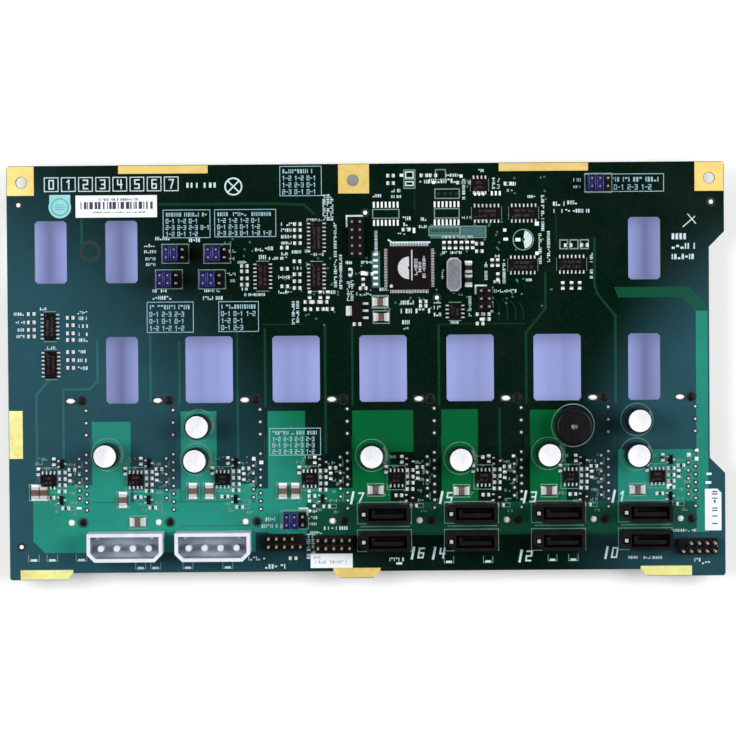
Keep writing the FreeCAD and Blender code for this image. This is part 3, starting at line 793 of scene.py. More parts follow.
def makeTracks():
    wide = [
        [(-69.3, 12), (-69.3, -9)], [(-60.0, 9.6), (-60.0, -10)], [(-41.4, 15), (-41.4, -34)],
        [(-32.5, 13.5), (-32.5, -11)], [(-13.2, 14.6), (-13.2, -26)], [(-4.5, 14), (-4.5, -10.6)],
        [(23.3, 14.2), (23.3, -11)], [(51.3, -10.6), (51.3, 12), (57.6, 19.6), (57.6, 31)],
        [(80.0, -10.6), (80.0, 17.2), (74.2, 24.4), (73.4, 27), (73.4, 42)], [(42.7, -12.4), (42.7, -30)],
        [(-86.3, 10), (-86.3, -2.6), (-88.8, -5.2), (-97.4, -5.2), (-97.4, -31)],
        [(-101.8, -2), (-106.0, -7), (-106.0, -35)], [(-91.0, 49), (-91.0, 41.6)],
        [(-66, 53.9), (-29, 53.9), (-19.5, 53.4), (-16.5, 50.6)]]
    narrow = [[(23.6, 14.9), (51, 14.9)], [(-33, 15.2), (-20, 15.2)], [(61.2, 50), (61.2, 41)],
              [(15.9, 57.5), (15.9, 51.6)], [(-60, -49.4), (-37.6, -49.4)]]
    for step in range(7):  # the fan of thin lines that leads away from the controller
        x = 33.6 + 2.6 * step
        narrow.append([(x, 24.6 - 0.5 * step), (x + 1.4, 22.4 - 0.5 * step), (x + 1.4, 16.4)])
    pairs = [[(bay + shift, -21), (bay + shift, -27), (bay + shift - 1.6, -29)]
             for bay in bayXs[:-1] for shift in (6.2, 7.0)]  # signal lines that run down from each connector
    bm = bmesh.new()
    for routes, width in ((wide, "wide"), (narrow, "narrow"), (pairs, "pair")):
        for points in routes:
            addRoute(bm, points, tracks[width], boardTop, copper["trackHeight"])
    finishPiece("copper_tracks", bm, "track")


def makeVias():
    # Plated holes under the mask, scattered round the chips and the connectors.
    dice = random.Random(tracks["viaSeed"])
    spots = [(dice.uniform(left, right), dice.uniform(low, high))
             for left, right, low, high, count in tracks["viaFields"] for step in range(count)]
    spots += [(bay + dice.uniform(-11.5, 6), dice.uniform(-44, -27)) for bay in bayXs
              for step in range(tracks["bayVias"])]
    bm = bmesh.new()
    for x, y in spots:
        addRing(bm, x, y, boardTop, tracks["viaRadius"], tracks["viaHole"], tracks["viaHeight"], 8)
    finishPiece("vias", bm, "via")
    return len(spots)


makeTracks()
print("tracks made, with", makeVias(), "vias")

# Small parts: bright ends and solder on the chip parts, leads on the transistors and the bay switches

smallParts = {
    "endShare": 0.24,  # of the length of a chip part
    "skin": 0.015,  # thickness of the plating
    "padReach": 0.4,
    "padHeight": 0.09,
    "resistorSize": (1.6, 0.85, 0.45),
    "loadSize": (2.1, 3.0, 0.9),  # the two load capacitors of the crystal
    "loadPlaces": ((33.0, 32.9), (33.0, 29.0)),
    "leadThickness": 0.14,
    "switchLead": (0.44, 1.0, 0.8),  # width, reach and height
    "transistorLead": (0.5, 0.75, 0.55),
}


def addEnds(ends, pads, box):
    # Plated ends and solder fillets at the two ends of a chip part.
    size = box[1] - box[0]
    x, y = middle(box).xy
    length, width = max(size.xy), min(size.xy)
    skin = smallParts["skin"]
    end = length * smallParts["endShare"]
    reach = smallParts["padReach"] * (1.5 if length > 2 else 1.0)
    level = box[1].z - boardTop
    for side in (-1, 1):
        for bm, out, long, wide, height in (
                (ends, length / 2 - end / 2 + skin, end + 2 * skin, width + 2 * skin, level + skin),
                (pads, length / 2 + reach / 2 - 0.12, reach + 0.5, width + 0.25, smallParts["padHeight"])):
            if size.x > size.y:
                addBlock(bm, x + side * out, y, boardTop, long, wide, height)
            else:
                addBlock(bm, x, y + side * out, boardTop, wide, long, height)


def extraParts():
    # Chip resistors that stand close to the chips, as boxes: centre and upright or not.
    places = [(-21.8, y, False) for y in (47.3, 45.4, 43.3, 41.2)]
    places += [(x, 40.2, True) for x in (25.2, 27.0, 28.9, 30.8, 32.6, 34.4)]
    places += [(-22.0, y, False) for y in (35.4, 31.2, 29.0, 26.8)]
    places += [(x, y, False) for x, y in (
        (8.2, 62.6), (18.9, 62.6), (21.8, 62.6), (8.2, 60.2), (30.6, 60.2), (32.6, 60.2), (45.8, 59.8),
        (-18.6, 22.3), (-16.0, 22.3), (-13.4, 22.3), (-18.6, 20.0), (-14.6, 20.0), (-11.6, 20.0),
        (18.4, 22.2), (18.4, 20.8), (36.6, 18.0), (38.6, 18.0), (36.6, 15.0), (38.6, 16.4),
        (-0.8, 26.6), (1.2, 31.2), (-2.9, 15.1), (-24.0, -60.0))]
    places += [(x, y, True) for x, y in (
        (42.4, 34.5), (40.6, 34.5), (42.4, 30.0), (-5.0, 31.8), (-0.8, 28.6), (97.2, -56.6), (100.4, -57.4))]
    sizeX, sizeY, sizeZ = smallParts["resistorSize"]
    return [boxAt(x, y, *((sizeY, sizeX) if upright else (sizeX, sizeY)), sizeZ) for x, y, upright in places]


def boxAt(x, y, sizeX, sizeY, height):
    # The two corners of a box that stands on the board.
    half = Vector((sizeX / 2, sizeY / 2, 0))
    centre = Vector((x, y, boardTop))
    return centre - half, centre + half + Vector((0, 0, height))


def makeSmallParts():
    ends = bmesh.new()
    pads = bmesh.new()
    for box in solidBoxes("chip_capacitors") + solidBoxes("chip_resistors"):
        addEnds(ends, pads, box)
    bodies = bmesh.new()
    for box in extraParts() + [boxAt(x, y, *smallParts["loadSize"]) for x, y in smallParts["loadPlaces"]]:
        addGrownBlock(bodies, box, 0, boardTop, box[1].z - boardTop)
        addEnds(ends, pads, box)
    finishPiece("extra_resistors", bodies, "ceramicDark")
    finishPiece("chip_ends", ends, "ends")
    finishPiece("chip_solder", pads, "solder")


def makeSwitches():
    bm = bmesh.new()
    leads = bmesh.new()
    thickness = smallParts["leadThickness"]
    wide, reach, height = smallParts["switchLead"]
    for box in solidBoxes("bay_switches"):
        addChipBody(bm, box)
        x = middle(box).x
        for side, edge in ((-1, box[0].y), (1, box[1].y)):
            for step in range(4):
                place = (x + leadPitch * (step - 1.5), edge + side * reach / 2)
                addLead(leads, boxAt(*place, wide, reach, height), (0, side), thickness)
    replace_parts(finishPiece("bay_switch_bodies", bm, "resin"), "bay_switches")
    bm = bmesh.new()
    wide, reach, height = smallParts["transistorLead"]
    for box in solidBoxes("bay_transistors"):
        addChipBody(bm, box)
        y = middle(box).y
        for side, edge, shifts in ((-1, box[0].x, (-0.95, 0.95)), (1, box[1].x, (0.0,))):
            for shift in shifts:
                lead = boxAt(edge + side * reach / 2, y + shift, reach, wide, height)
                addLead(leads, lead, (side, 0), thickness)
    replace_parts(finishPiece("bay_transistor_bodies", bm, "resin"), "bay_transistors")
    finishPiece("bay_leads", leads, "tin")


makeSmallParts()
makeSwitches()
print("small parts made")

# Solder joints, and the pegs of the drive connectors

joints = {
    "slotSize": (2.9, 1.7),
    "slotClear": (3.5, 2.3),
    "roundRadius": 1.0,
    "roundStretch": 1.15,
    "domeHeight": 0.62,
    "upperPosts": -30,  # the posts above this Y are joined in slots
    "clearHeight": 0.045,  # of the bare laminate round a joint
    "pegShift": 3.65,  # from a solder post to its peg
    "pegRadius": 1.4,
    "pegRing": 0.32,
    "contactRadius": 0.42,
    "contactRing": 0.4,
    "contactHeight": 0.3,
}


def addDome(bm, x, y, z, radius, height, stretch=1.0, segments=12):
    # A bead of solder: a short foot with a smaller crown raised from it.
    verts = addCone(bm, x, y, z, radius, radius * 0.9, height * 0.45, segments)
    crown = topFace(verts)
    for rise, size in ((0.35, 0.8), (0.2, 0.5)):
        crown = bmesh.ops.extrude_discrete_faces(bm, faces=[crown])["faces"][0]
        bmesh.ops.translate(bm, vec=(0, 0, height * rise), verts=crown.verts)
        scaleRound(bm, x, y, size, size, crown.verts)
        verts += list(crown.verts)
    if stretch != 1.0:
        scaleRound(bm, x, y, stretch, 1, verts)


def makeJoints():
    solder = bmesh.new()
    rings = bmesh.new()
    pegs = bmesh.new()
    posts = [box for node in driveContacts for box in solidBoxes(node) if box[1].z >= boardTop]
    dome, clear, peg = joints["domeHeight"], joints["clearHeight"], joints["pegRadius"]
    for box in posts:
        x, y = middle(box).xy
        if y > joints["upperPosts"]:
            sizeX, sizeY = joints["slotSize"]
            addDome(solder, x, y, boardTop, sizeY / 2, dome, sizeX / sizeY)
            addBlock(rings, x, y, boardTop, *joints["slotClear"], clear)
        else:
            addDome(solder, x, y, boardTop, joints["roundRadius"], dome, joints["roundStretch"])
    for box in posts:
        x, y = middle(box).xy
        x += joints["pegShift"]
        addDome(pegs, x, y, boardTop - 0.1, peg, 0.3, 1.0, 24)
        addRing(rings, x, y, boardTop, peg + joints["pegRing"], peg + 0.05, clear, 24)
    finishPiece("post_solder", solder, "solder", True)
    finishPiece("post_surrounds", rings, "bare")
    finishPiece("peg_heads", pegs, "black", True)


def makeContactJoints():
    # Two staggered columns of soldered contact tails beside each bay, and three single ones above them.
    tips = bmesh.new()
    rims = bmesh.new()
    radius = joints["contactRadius"]
    for bay in bayXs:
        spots = [(bay + 4.9, y) for y in (-12.1, -16.1, -20.0)]
        for shift, start, count in ((4.9, -26.3, 8), (2.6, -27.6, 6)):
            spots += [(bay + shift, start - pinPitch * step) for step in range(count)]
        for x, y in spots:
            addDome(tips, x, y, boardTop, radius, joints["contactHeight"])
            addRing(rims, x, y, boardTop, radius + joints["contactRing"], radius, joints["clearHeight"], 12)
            addDome(tips, x, y, boardUnder - 0.02, 0.3, 0.03)
    finishPiece("contact_joints", tips, "tin", True)
    finishPiece("contact_rims", rims, "bare")


def makeUnderJoints():
    # Joints under the power and data headers, the capacitors and the buzzer, as centre, radius and height.
    spots = []
    for low, high in solidBoxes("power_pins"):
        spots.append(((low.x + high.x) / 2, (low.y + high.y) / 2, 1.6, 1.1))
    for low, high in solidBoxes("data_contacts"):
        shift = 0.6 if len(spots) % 2 else -0.6
        spots.append(((low.x + high.x) / 2, (low.y + high.y) / 2 + shift, 0.55, 0.5))
    for box in solidBoxes("bulk_capacitors"):
        x, y = middle(box).xy
        spots += [(x - 1.75, y, 0.8, 0.7), (x + 1.75, y, 0.8, 0.7)]
    low, high = nodeBox("buzzer")
    spots += [((low.x + high.x) / 2 + reach, (low.y + high.y) / 2, 0.8, 0.7) for reach in (-3.8, 3.8)]
    covers = [nodeBox(node) for node in driveConnectors]
    bm = bmesh.new()
    for x, y, radius, height in spots:
        if not any(low.x - radius < x < high.x + radius and low.y - radius < y < high.y + radius
                   for low, high in covers):
            profile = [(0, -height), (0.32, -height), (radius * 0.55, -height * 0.5), (radius, 0), (0, 0)]
            addTurned(bm, profile, x, y, boardUnder, 12)
    finishPiece("under_joints", bm, "solder", True)


makeJoints()
makeContactJoints()
makeUnderJoints()
print("solder joints made")

# Pads left bare for parts that this board doesn't carry, and the sighting marks

spare = {
    "padHeight": 0.05,
    "chipPad": (0.62, 1.9),
    "shortPad": (0.62, 1.4),
    "fiducial": 0.68,
    "fiducialClear": 1.45,
    "fiducials": ((-111.2, 54.0), (-111.2, -55.8), (110.8, 53.5), (0.0, 50.8), (22.8, 23.4)),
    "patches": ((30.9, 38.3, 42.9, 45.9), (20.8, 29.9, 42.4, 46.8), (2.0, 4.6, 26.8, 38.4)),
}


def makeSparePads():
    bm = bmesh.new()
    dark = bmesh.new()
    height = spare["padHeight"]
    for x in (6.6, 26.1):
        for side in (-1, 1):
            for step in range(7):
                y = 50.4 + side * 2.9
                addBlock(bm, x + leadPitch * (step - 3), y, boardTop, *spare["chipPad"], height)
    for x in (36.6, 41.9):
        for step in range(3):
            addBlock(bm, x + leadPitch * (step - 1), 56.7, boardTop, *spare["shortPad"], height)
    for x, y, sizeX, sizeY in (
            (11.7, 62.7, 1.1, 0.9), (22.0, 60.3, 0.9, 0.9), (13.9, 45.5, 1.3, 0.8), (15.6, 45.0, 0.8, 1.7),
            (48.9, 41.8, 1.6, 1.1), (55.0, 37.4, 1.1, 1.1), (55.0, 46.9, 1.3, 1.3), (44.7, 44.9, 1.0, 1.0),
            (45.0, 42.0, 1.5, 0.9), (30.8, 62.3, 1.0, 1.0), (-0.8, 31.4, 1.5, 1.3), (-4.8, 31.9, 1.3, 1.8),
            (36.9, 16.4, 0.8, 0.9), (100.3, -55.1, 1.3, 1.3), (-15.6, -53.5, 1.2, 1.2),
            (-15.6, -55.9, 0.8, 0.8), (109.6, -36.6, 1.8, 0.8), (109.8, -33.8, 1.6, 0.7),
            (37.2, -27.9, 1.1, 1.1), (47.0, -27.6, 0.9, 0.9), (-36.4, -27.9, 1.1, 1.1),
            (-34.0, -29.1, 1.3, 1.1), (-92.6, -43.4, 1.5, 0.7), (103.3, -27.6, 1.2, 1.2),
            (106.0, -26.2, 0.9, 0.9), (105.8, -28.9, 1.2, 1.2), (97.0, -37.4, 1.5, 1.0)):
        addBlock(bm, x, y, boardTop, sizeX, sizeY, height)
    for x, y in spare["fiducials"]:
        addRing(dark, x, y, boardTop, spare["fiducialClear"], spare["fiducial"], 0.04, 24)
        addDome(bm, x, y, boardTop, spare["fiducial"], 0.05)
    for step in range(7):
        addRing(dark, 21.6 + 1.3 * step, 44.9, boardTop, 0.5, 0.2, 0.085, 10)
    for step in range(4):
        addRing(dark, 23.6 + 1.9 * step, 56.7, boardTop, 0.55, 0.2, 0.085, 10)
    for step in range(6):  # a column of pads between the upright header and the large chip
        addBlock(bm, 3.2, 37.4 - 1.9 * step, boardTop, 1.5, 0.8, height)
    for step in range(5):  # and one right of the lower jumper block
        addBlock(bm, -18.6 + 1.5 * (step % 2), -38.4 - 1.6 * step, boardTop, 0.9, 0.9, height)
    patches = bmesh.new()
    for left, right, low, high in spare["patches"]:
        corners = [(left, low), (right, low), (right, high), (left, high)]
        addPlate(patches, corners, boardTop, copper["pourHeight"])
    finishPiece("pale_patches", patches, "patch")
    finishPiece("spare_pads", bm, "solder")
    finishPiece("bare_rings", dark, "bare")


makeSparePads()
print("spare pads made")

# Print on the board: plain numbers, frames, brackets and rows of small marks

silk = {
    "height": 0.07,
    "line": 0.24,
    "seed": 21,
    "digitPitch": 1.55,  # from one digit to the next, in digit widths
    "tables": ((-64.8, -49.8, 43.2, 52.1, 4), (-48.3, -28.7, 43.4, 52.1, 4), (-27.3, -14.0, 56.4, 65.8, 4),
               (-70.2, -55.4, 12.9, 22.6, 4), (-47.2, -34.5, 13.0, 22.6, 4), (-31.2, -14.9, -26.8, -18.2, 4),
               (70.4, 95.7, 57.0, 62.6, 2)),  # left, right, low and high, and the count of rows
    "feet": ((-109, -105.6, -60), (-103.1, -99.7, -60), (-93.7, -90.3, -60), (-74.6, -71.4, -62.7),
             (-69.8, -66.6, -62.7), (-59.4, -56.2, -62.7), (-46.6, -43.4, -62.7), (24.6, 27.6, -61.4),
             (37.2, 40.2, -61.4), (58.0, 60.8, -61.0), (64.6, 67.6, -61.0)),  # light guides at the lower edge
}
digitStrokes = {  # each digit as strokes over a grid one wide and two high
    "0": (((0, 0), (1, 0), (1, 2), (0, 2), (0, 0)),),
    "1": (((0.2, 1.6), (0.6, 2), (0.6, 0)),),
    "2": (((0, 2), (1, 2), (1, 1), (0, 1), (0, 0), (1, 0)),),
    "3": (((0, 2), (1, 2), (1, 0), (0, 0)), ((0.3, 1), (1, 1))),
    "4": (((0, 2), (0, 0.9), (1, 0.9)), ((0.8, 2), (0.8, 0))),
    "5": (((1, 2), (0, 2), (0, 1), (1, 1), (1, 0), (0, 0)),),
    "6": (((1, 2), (0, 2), (0, 0), (1, 0), (1, 1), (0, 1)),),
    "7": (((0, 2), (1, 2), (0.4, 0)),),
    "8": (((0, 0), (1, 0), (1, 2), (0, 2), (0, 0)), ((0, 1), (1, 1))),
    "9": (((0, 0), (1, 0), (1, 2), (0, 2), (0, 1), (1, 1)),),
    "-": (((0.1, 1), (0.9, 1)),),
}


def addInk(bm, points, line=silk["line"]):
    addRoute(bm, points, line, boardTop, silk["height"])


def addFrame(bm, left, right, low, high, line=silk["line"]):
    addInk(bm, [(left, low), (right, low), (right, high), (left, high), (left, low)], line)


def addNumber(bm, text, x, y, height, line, slant=0.0):
    # Plain numbers, centred on x and y.
    cell = height / 2
    pitch = cell * silk["digitPitch"]
    left = x - (pitch * (len(text) - 1) + cell) / 2
    for index, sign in enumerate(text):
        for strokes in digitStrokes[sign]:
            addInk(bm, [(left + index * pitch + (gridX + slant * (gridY - 1)) * cell, y + (gridY - 1) * cell)
                        for gridX, gridY in strokes], line)


def addMarks(bm, dice, x, y, length, height, turn=0.0, z=boardTop, raised=silk["height"]):
    # A row of small upright marks in groups, from x and y onwards, as fine print reads from a step away.
    angle = math.radians(turn)
    at = 0.0
    while at < length - height * 0.3:
        if dice.random() < 0.13:
            at += height * 0.55
            continue
        kind = dice.choice((0, 0, 1, 2))
        wide = height * (0.22, 0.5, 0.42)[kind]
        tall = height * (1.0, 0.36, 1.0)[kind]
        up = 0 if kind != 1 else dice.choice((-0.3, 0.0, 0.3)) * height
        across = at + wide / 2
        markX = x + across * math.cos(angle) - up * math.sin(angle)
        markY = y + across * math.sin(angle) + up * math.cos(angle)
        addBlock(bm, markX, markY, z, wide, tall, raised, angle)
        at += wide + height * 0.24


def addTable(bm, dice, left, right, low, high, rows):
    # A framed table of settings: a heading of marks, then rows of plain numbers.
    addFrame(bm, left, right, low, high, 0.22)
    rowPitch = (high - low) / (rows + 0.3)
    addMarks(bm, dice, left + 0.9, high - rowPitch * 0.72, right - left - 1.8, rowPitch * 0.62)
    for row in range(1, rows):
        x = left + 2.2
        while x < left + (right - left) * dice.uniform(0.82, 1.02) - 1.5:
            first = dice.randint(0, 2)
            y = high - rowPitch * (row + 0.72)
            addNumber(bm, "%d-%d" % (first, first + 1), x, y, rowPitch * 0.6, 0.26)
            x += rowPitch * 1.8


def makeTables():
    dice = random.Random(silk["seed"])
    bm = bmesh.new()
    for table in silk["tables"]:
        addTable(bm, dice, *table)
    finishPiece("setting_tables", bm, "tableInk")
    bm = bmesh.new()
    # Rows of fine print that stand on end: place, and lower and upper end.
    for x, low, high in (
            (-13.2, 48.4, 56.8), (-11.9, 48.4, 56.8), (-10.7, 48.4, 56.4), (-23.3, 15.2, 22.8),
            (-21.9, 15.2, 22.8), (-9.7, 27, 48), (-8.0, 26.4, 38), (-5.6, 22.6, 29.8), (-4.4, 22.6, 29.6),
            (3.4, 37, 45.4), (31.6, 54.8, 61.8), (41.2, 58.2, 62), (42.7, 58.2, 61.6), (44.4, 27.8, 35.4),
            (38.6, 29, 35), (56.9, 44.6, 56.4), (58.7, 34.6, 44.6), (72.4, 29.2, 32.6), (72.4, 34.4, 37.6),
            (56.0, 34, 44), (40.4, 18.6, 27.2), (24.6, 29.4, 32.4), (33.4, 17.4, 24.2)):
        addMarks(bm, dice, x, low, high - low, 0.95, 90)
    for left, right, y, height in (
            (-113, -109.4, 19.1, 1.0), (-112.4, -109.4, 16.4, 1.0), (-111.8, -109.4, 14.0, 1.0),
            (-112.2, -109.4, 11.9, 1.0), (-92.6, -89.4, 19.4, 1.0), (-92.2, -89.4, 17.6, 1.1),
            (-92.2, -89.4, 15.1, 1.1), (-92.2, -89.4, 12.5, 1.1), (-92.2, -89.4, 10.6, 1.1),
            (-92.4, -89.4, 6.9, 1.0), (-92.6, -89.4, 4.1, 1.1), (-92.6, -89.4, 1.6, 1.1),
            (-104.6, -102, 20.7, 0.9), (-102.4, -99.4, 8.1, 1.1), (-36, -33, 39.2, 1.1),
            (-32.2, -29.2, 39.6, 1.2), (-34.2, -31.8, 36.8, 1.4), (-31, -24.4, 36.4, 0.9),
            (-27, -23.4, 47.3, 1.1), (-27, -23.4, 45.4, 1.1), (-27, -23.4, 43.3, 1.1),
            (-27, -23.4, 41.3, 0.9), (-27, -24, 37.8, 0.9), (-28, -24.4, 30.3, 1.1), (-28, -24.4, 25.6, 1.1),
            (-39, -32.4, 24.8, 0.9), (-23.6, -20.4, 38.4, 1.0), (-23.6, -20.4, 33.2, 1.0),
            (-19.4, -16.8, 38.6, 1.0), (-16.6, -13.6, 37.6, 1.1), (-18.8, -14.4, 48.6, 0.9),
            (-13.6, -9.2, 25.4, 1.1), (-6.4, -4.4, 34.8, 0.9), (-1.4, 2.4, 34.9, 0.9),
            (-3.0, 1.8, 24.8, 1.0), (4.4, 8.4, 26.2, 1.0), (11.2, 15.6, 21.9, 1.3), (11.2, 20.4, 19.2, 1.5),
            (11.6, 14.6, 15.6, 1.3), (12.0, 14.4, 13.7, 0.9), (21.8, 24.4, 22.0, 0.9),
            (21.8, 24.4, 20.2, 1.1), (21.8, 24.4, 18.0, 1.1), (27.2, 30.0, 15.4, 0.9), (2.4, 5.2, 56.2, 1.0),
            (8.4, 11.6, 57.8, 1.1), (8.4, 11.6, 55.9, 0.9), (17.4, 21.2, 60.6, 1.2), (20.6, 30.0, 60.8, 1.4),
            (26.0, 30.4, 62.6, 1.0), (12.0, 15.0, 48.9, 1.2), (12.2, 14.6, 47.0, 1.1),
            (17.2, 19.8, 48.6, 1.1), (17.2, 19.8, 46.2, 0.9), (10.4, 12.6, 43.8, 0.9),
            (24.6, 34.6, 42.8, 0.9), (24.6, 31.6, 37.8, 0.9), (35.2, 41.6, 48.4, 1.0),
            (31.0, 34.4, 49.0, 0.9), (41.2, 48.2, 25.4, 1.1), (41.0, 43.2, 36.6, 0.9),
            (41.0, 43.2, 28.4, 0.9), (44.8, 48.8, 59.7, 1.2), (45.0, 47.4, 57.6, 0.9),
            (52.0, 54.4, 55.6, 0.9), (51.4, 53.4, 28.9, 0.9), (60.2, 64.2, 53.2, 1.4),
            (64.8, 68.0, 53.6, 1.2), (60.4, 72.0, 50.9, 1.2), (66.8, 69.4, 60.8, 1.1),
            (66.8, 69.4, 58.6, 0.9), (36.4, 38.4, 64.0, 0.9), (-71.0, -67.4, 40.8, 1.0),
            (-71.0, -67.0, 38.8, 1.0), (-70.6, -67.0, 36.5, 1.0), (-70.4, -67.0, 34.7, 1.0),
            (-68.4, -63.8, 26.2, 1.0), (-68.4, -62.0, 24.0, 1.2), (-56.6, -52.2, 42.4, 1.2),
            (-51.8, -46.2, 26.2, 1.0), (-52.2, -45.6, 23.8, 1.2), (-44.4, -41.4, 31.4, 0.9),
            (-44.4, -41.8, 29.3, 0.9), (-43.8, -41.6, 38.8, 1.0), (-43.8, -41.6, 36.4, 1.0),
            (-67.4, -62.6, 43.0, 1.1), (-39.8, -37.9, 26.6, 0.9), (-41.0, -38.0, 35.2, 0.9),
            (-38.4, -33.0, -60.0, 1.3), (-33.0, -24.6, -62.6, 1.5), (-34.0, -27.0, -49.6, 1.2),
            (-33.4, -29.0, -47.4, 1.2), (-19.0, -15.8, -47.0, 1.0), (-19.0, -15.8, -45.0, 0.9),
            (-19.0, -15.8, -49.0, 0.9), (-14.0, -6.0, -50.4, 1.1), (-18.4, -14.4, -51.8, 0.9),
            (7.0, 11.6, -60.6, 1.2), (83.8, 86.8, -60.5, 0.9), (88.2, 94.6, -60.6, 0.9),
            (105.0, 107.0, -61.4, 1.2), (107.4, 111.6, -62.2, 1.3), (97.6, 106.0, -51.9, 0.9),
            (-75.6, -72.8, -52.3, 0.9)):
        addMarks(bm, dice, left, y, right - left, height)
    for x in (-19.0, -17.4):  # two rows on end between the sideband headers
        addMarks(bm, dice, x, -60.2, 8.2, 1.2, 90)
    for y, length, height in ((42.5, 4.6, 1.9), (39.4, 7.6, 1.9), (36.0, 7.6, 1.7)):  # larger, at the right
        addMarks(bm, dice, 98.2, y, length, height)
    addInk(bm, [(101.9, 45.6), (105.6, 48.8)], 0.3)
    addInk(bm, [(103.4, 49.6), (105.9, 46.6)], 0.3)
    finishPiece("fine_print", bm, "silk")


def makeBayPrint():
    # Each bay's number at its data header, the plan of the bays at the top left, and each bay's small marks.
    dice = random.Random(silk["seed"] + 1)
    bm = bmesh.new()
    for number, x, y in (
            (7, -3.4, -40.7), (5, 25.2, -40.8), (3, 52.1, -40.8), (1, 80.6, -40.8), (6, 16.0, -58.6),
            (4, 22.8, -58.7), (2, 50.6, -59.8), (0, 78.2, -58.9)):
        addInk(bm, [(x - 1.8, y - 1.7), (x - 1.1, y + 1.7)], 0.75)
        addNumber(bm, str(number), x + 1.2, y, 3.0, 0.5, 0.18)
    for step in range(8):
        x = -100.6 + 5.5 * step
        addFrame(bm, x - 2.2, x + 2.2, 58.3, 62.7, 0.28)
        addNumber(bm, str(step), x, 60.5, 2.7, 0.42)
    for x, wide in ((-56.9, 1.0), (-55.6, 0.8), (-53.9, 0.7), (-51.4, 0.9), (-49.6, 1.2), (-48.2, 1.0)):
        addBlock(bm, x, 60.0, boardTop, wide * 0.7, 1.6, silk["height"])
    addRing(bm, -42.2, 59.5, boardTop, 2.9, 2.4, silk["height"], 36)
    for rise in (-1.7, 1.7):
        addInk(bm, [(-43.9, 59.5 - rise), (-40.5, 59.5 + rise)], 0.45)
    finishPiece("bay_numbers", bm, "silk")
    bm = bmesh.new()
    for bay in bayXs:
        for x, y, length in (
                (-11.6, -29.0, 2.6), (-8.6, -30.6, 1.8), (-1.4, -29.4, 2.6), (-4.6, -33.0, 1.4),
                (1.0, -32.2, 2.0), (1.2, -36.2, 1.8), (-0.6, -38.6, 2.0), (-6.4, -42.2, 3.4),
                (-1.0, -41.6, 2.6), (0.4, -45.2, 2.0), (-5.4, -44.4, 2.0), (-9.6, -27.6, 2.4),
                (-11.8, -39.6, 2.2), (-0.2, -34.9, 1.6)):
            addMarks(bm, dice, bay + x, y, length, 0.95)
        addFrame(bm, bay - 10.4, bay - 4.4, -38.2, -30.4, 0.2)
        addFrame(bm, bay - 1.2, bay + 1.2, -44.0, -42.7, 0.18)
        for y in (-28.4, -33.8, -39.2):
            addInk(bm, [(bay + 3.4, y), (bay + 3.4, y - 2.2)], 0.18)
    finishPiece("bay_marks", bm, "silkThin")


def addSides(bm, low, high, gap):
    # A line beside each end of a chip.
    if high.y - low.y > high.x - low.x:
        for y in (high.y + gap, low.y - gap):
            addInk(bm, [(low.x, y), (high.x, y)])
    else:
        for x in (low.x - gap, high.x + gap):
            addInk(bm, [(x, low.y), (x, high.y)])


def makeOutlines():
    # Frames round the headers and the chips, and the signs of the capacitors.
    bm = bmesh.new()
    height = silk["height"]
    for low, high in headerBoxes:
        addFrame(bm, low.x - 0.5, high.x + 0.6, low.y - 0.4, high.y + 0.35)
    for low, high in headerBoxes[::2]:
        addInk(bm, [(low.x + 0.6, low.y - 1.3), (high.x, low.y - 1.3)])
    for low, high in solidBoxes("logic_chips"):
        addSides(bm, low, high, 0.5)
    for node, gap, line in (("jumper_bases", 0.5, 0.32), ("chip_capacitors", 0.8, 0.3)):
        for low, high in solidBoxes(node):
            addFrame(bm, low.x - gap, high.x + gap, low.y - gap, high.y + gap, line)
    low, high = nodeBox("buzzer")
    radius = (high.x - low.x) / 2
    addRing(bm, *middle((low, high)).xy, boardTop, radius + 1.0, radius + 0.7, height, 48)
    for box in solidBoxes("bulk_capacitors"):
        x, y = middle(box).xy
        addRing(bm, x, y, boardTop, 5.3, 5.12, height, 48)
        addRing(bm, x, y, boardTop, 4.95, 4.35, height, 48, math.radians(-34), math.radians(68))
    for left, right, y in silk["feet"]:
        addInk(bm, [(left, y + 1.6), (left, y - 0.4), (right, y - 0.4), (right, y + 1.6)])
    for left, right, low, high in (
            (12.5, 16.0, 58.5, 64.4), (22.6, 25.8, 61.2, 64.4), (22.4, 30.2, 55.2, 58.2),
            (20.4, 30.2, 43.3, 46.1), (22.2, 30.1, 48.9, 51.9), (2.2, 6.9, 20.5, 24.0),
            (30.6, 38.6, 42.6, 46.2), (2.4, 10.8, 49.0, 51.8)):
        addFrame(bm, left, right, low, high, 0.32)
    addInk(bm, [(12.5, 61.4), (16, 61.4)], 0.32)
    addRing(bm, 50.6, 41.8, boardTop, 3.45, 3.15, height, 40)
    for x in (63.6, 66.9, 70.2):
        addFrame(bm, x - 1.25, x + 1.25, 38.8, 41.6, 0.4)
    stamp = bmesh.new()
    addRing(stamp, -88.3, 39.0, boardTop, 3.5, 2.4, 0.03, 40)
    finishPiece("stamped_ring", stamp, "stampInk")
    finishPiece("board_outlines", bm, "silkThin")


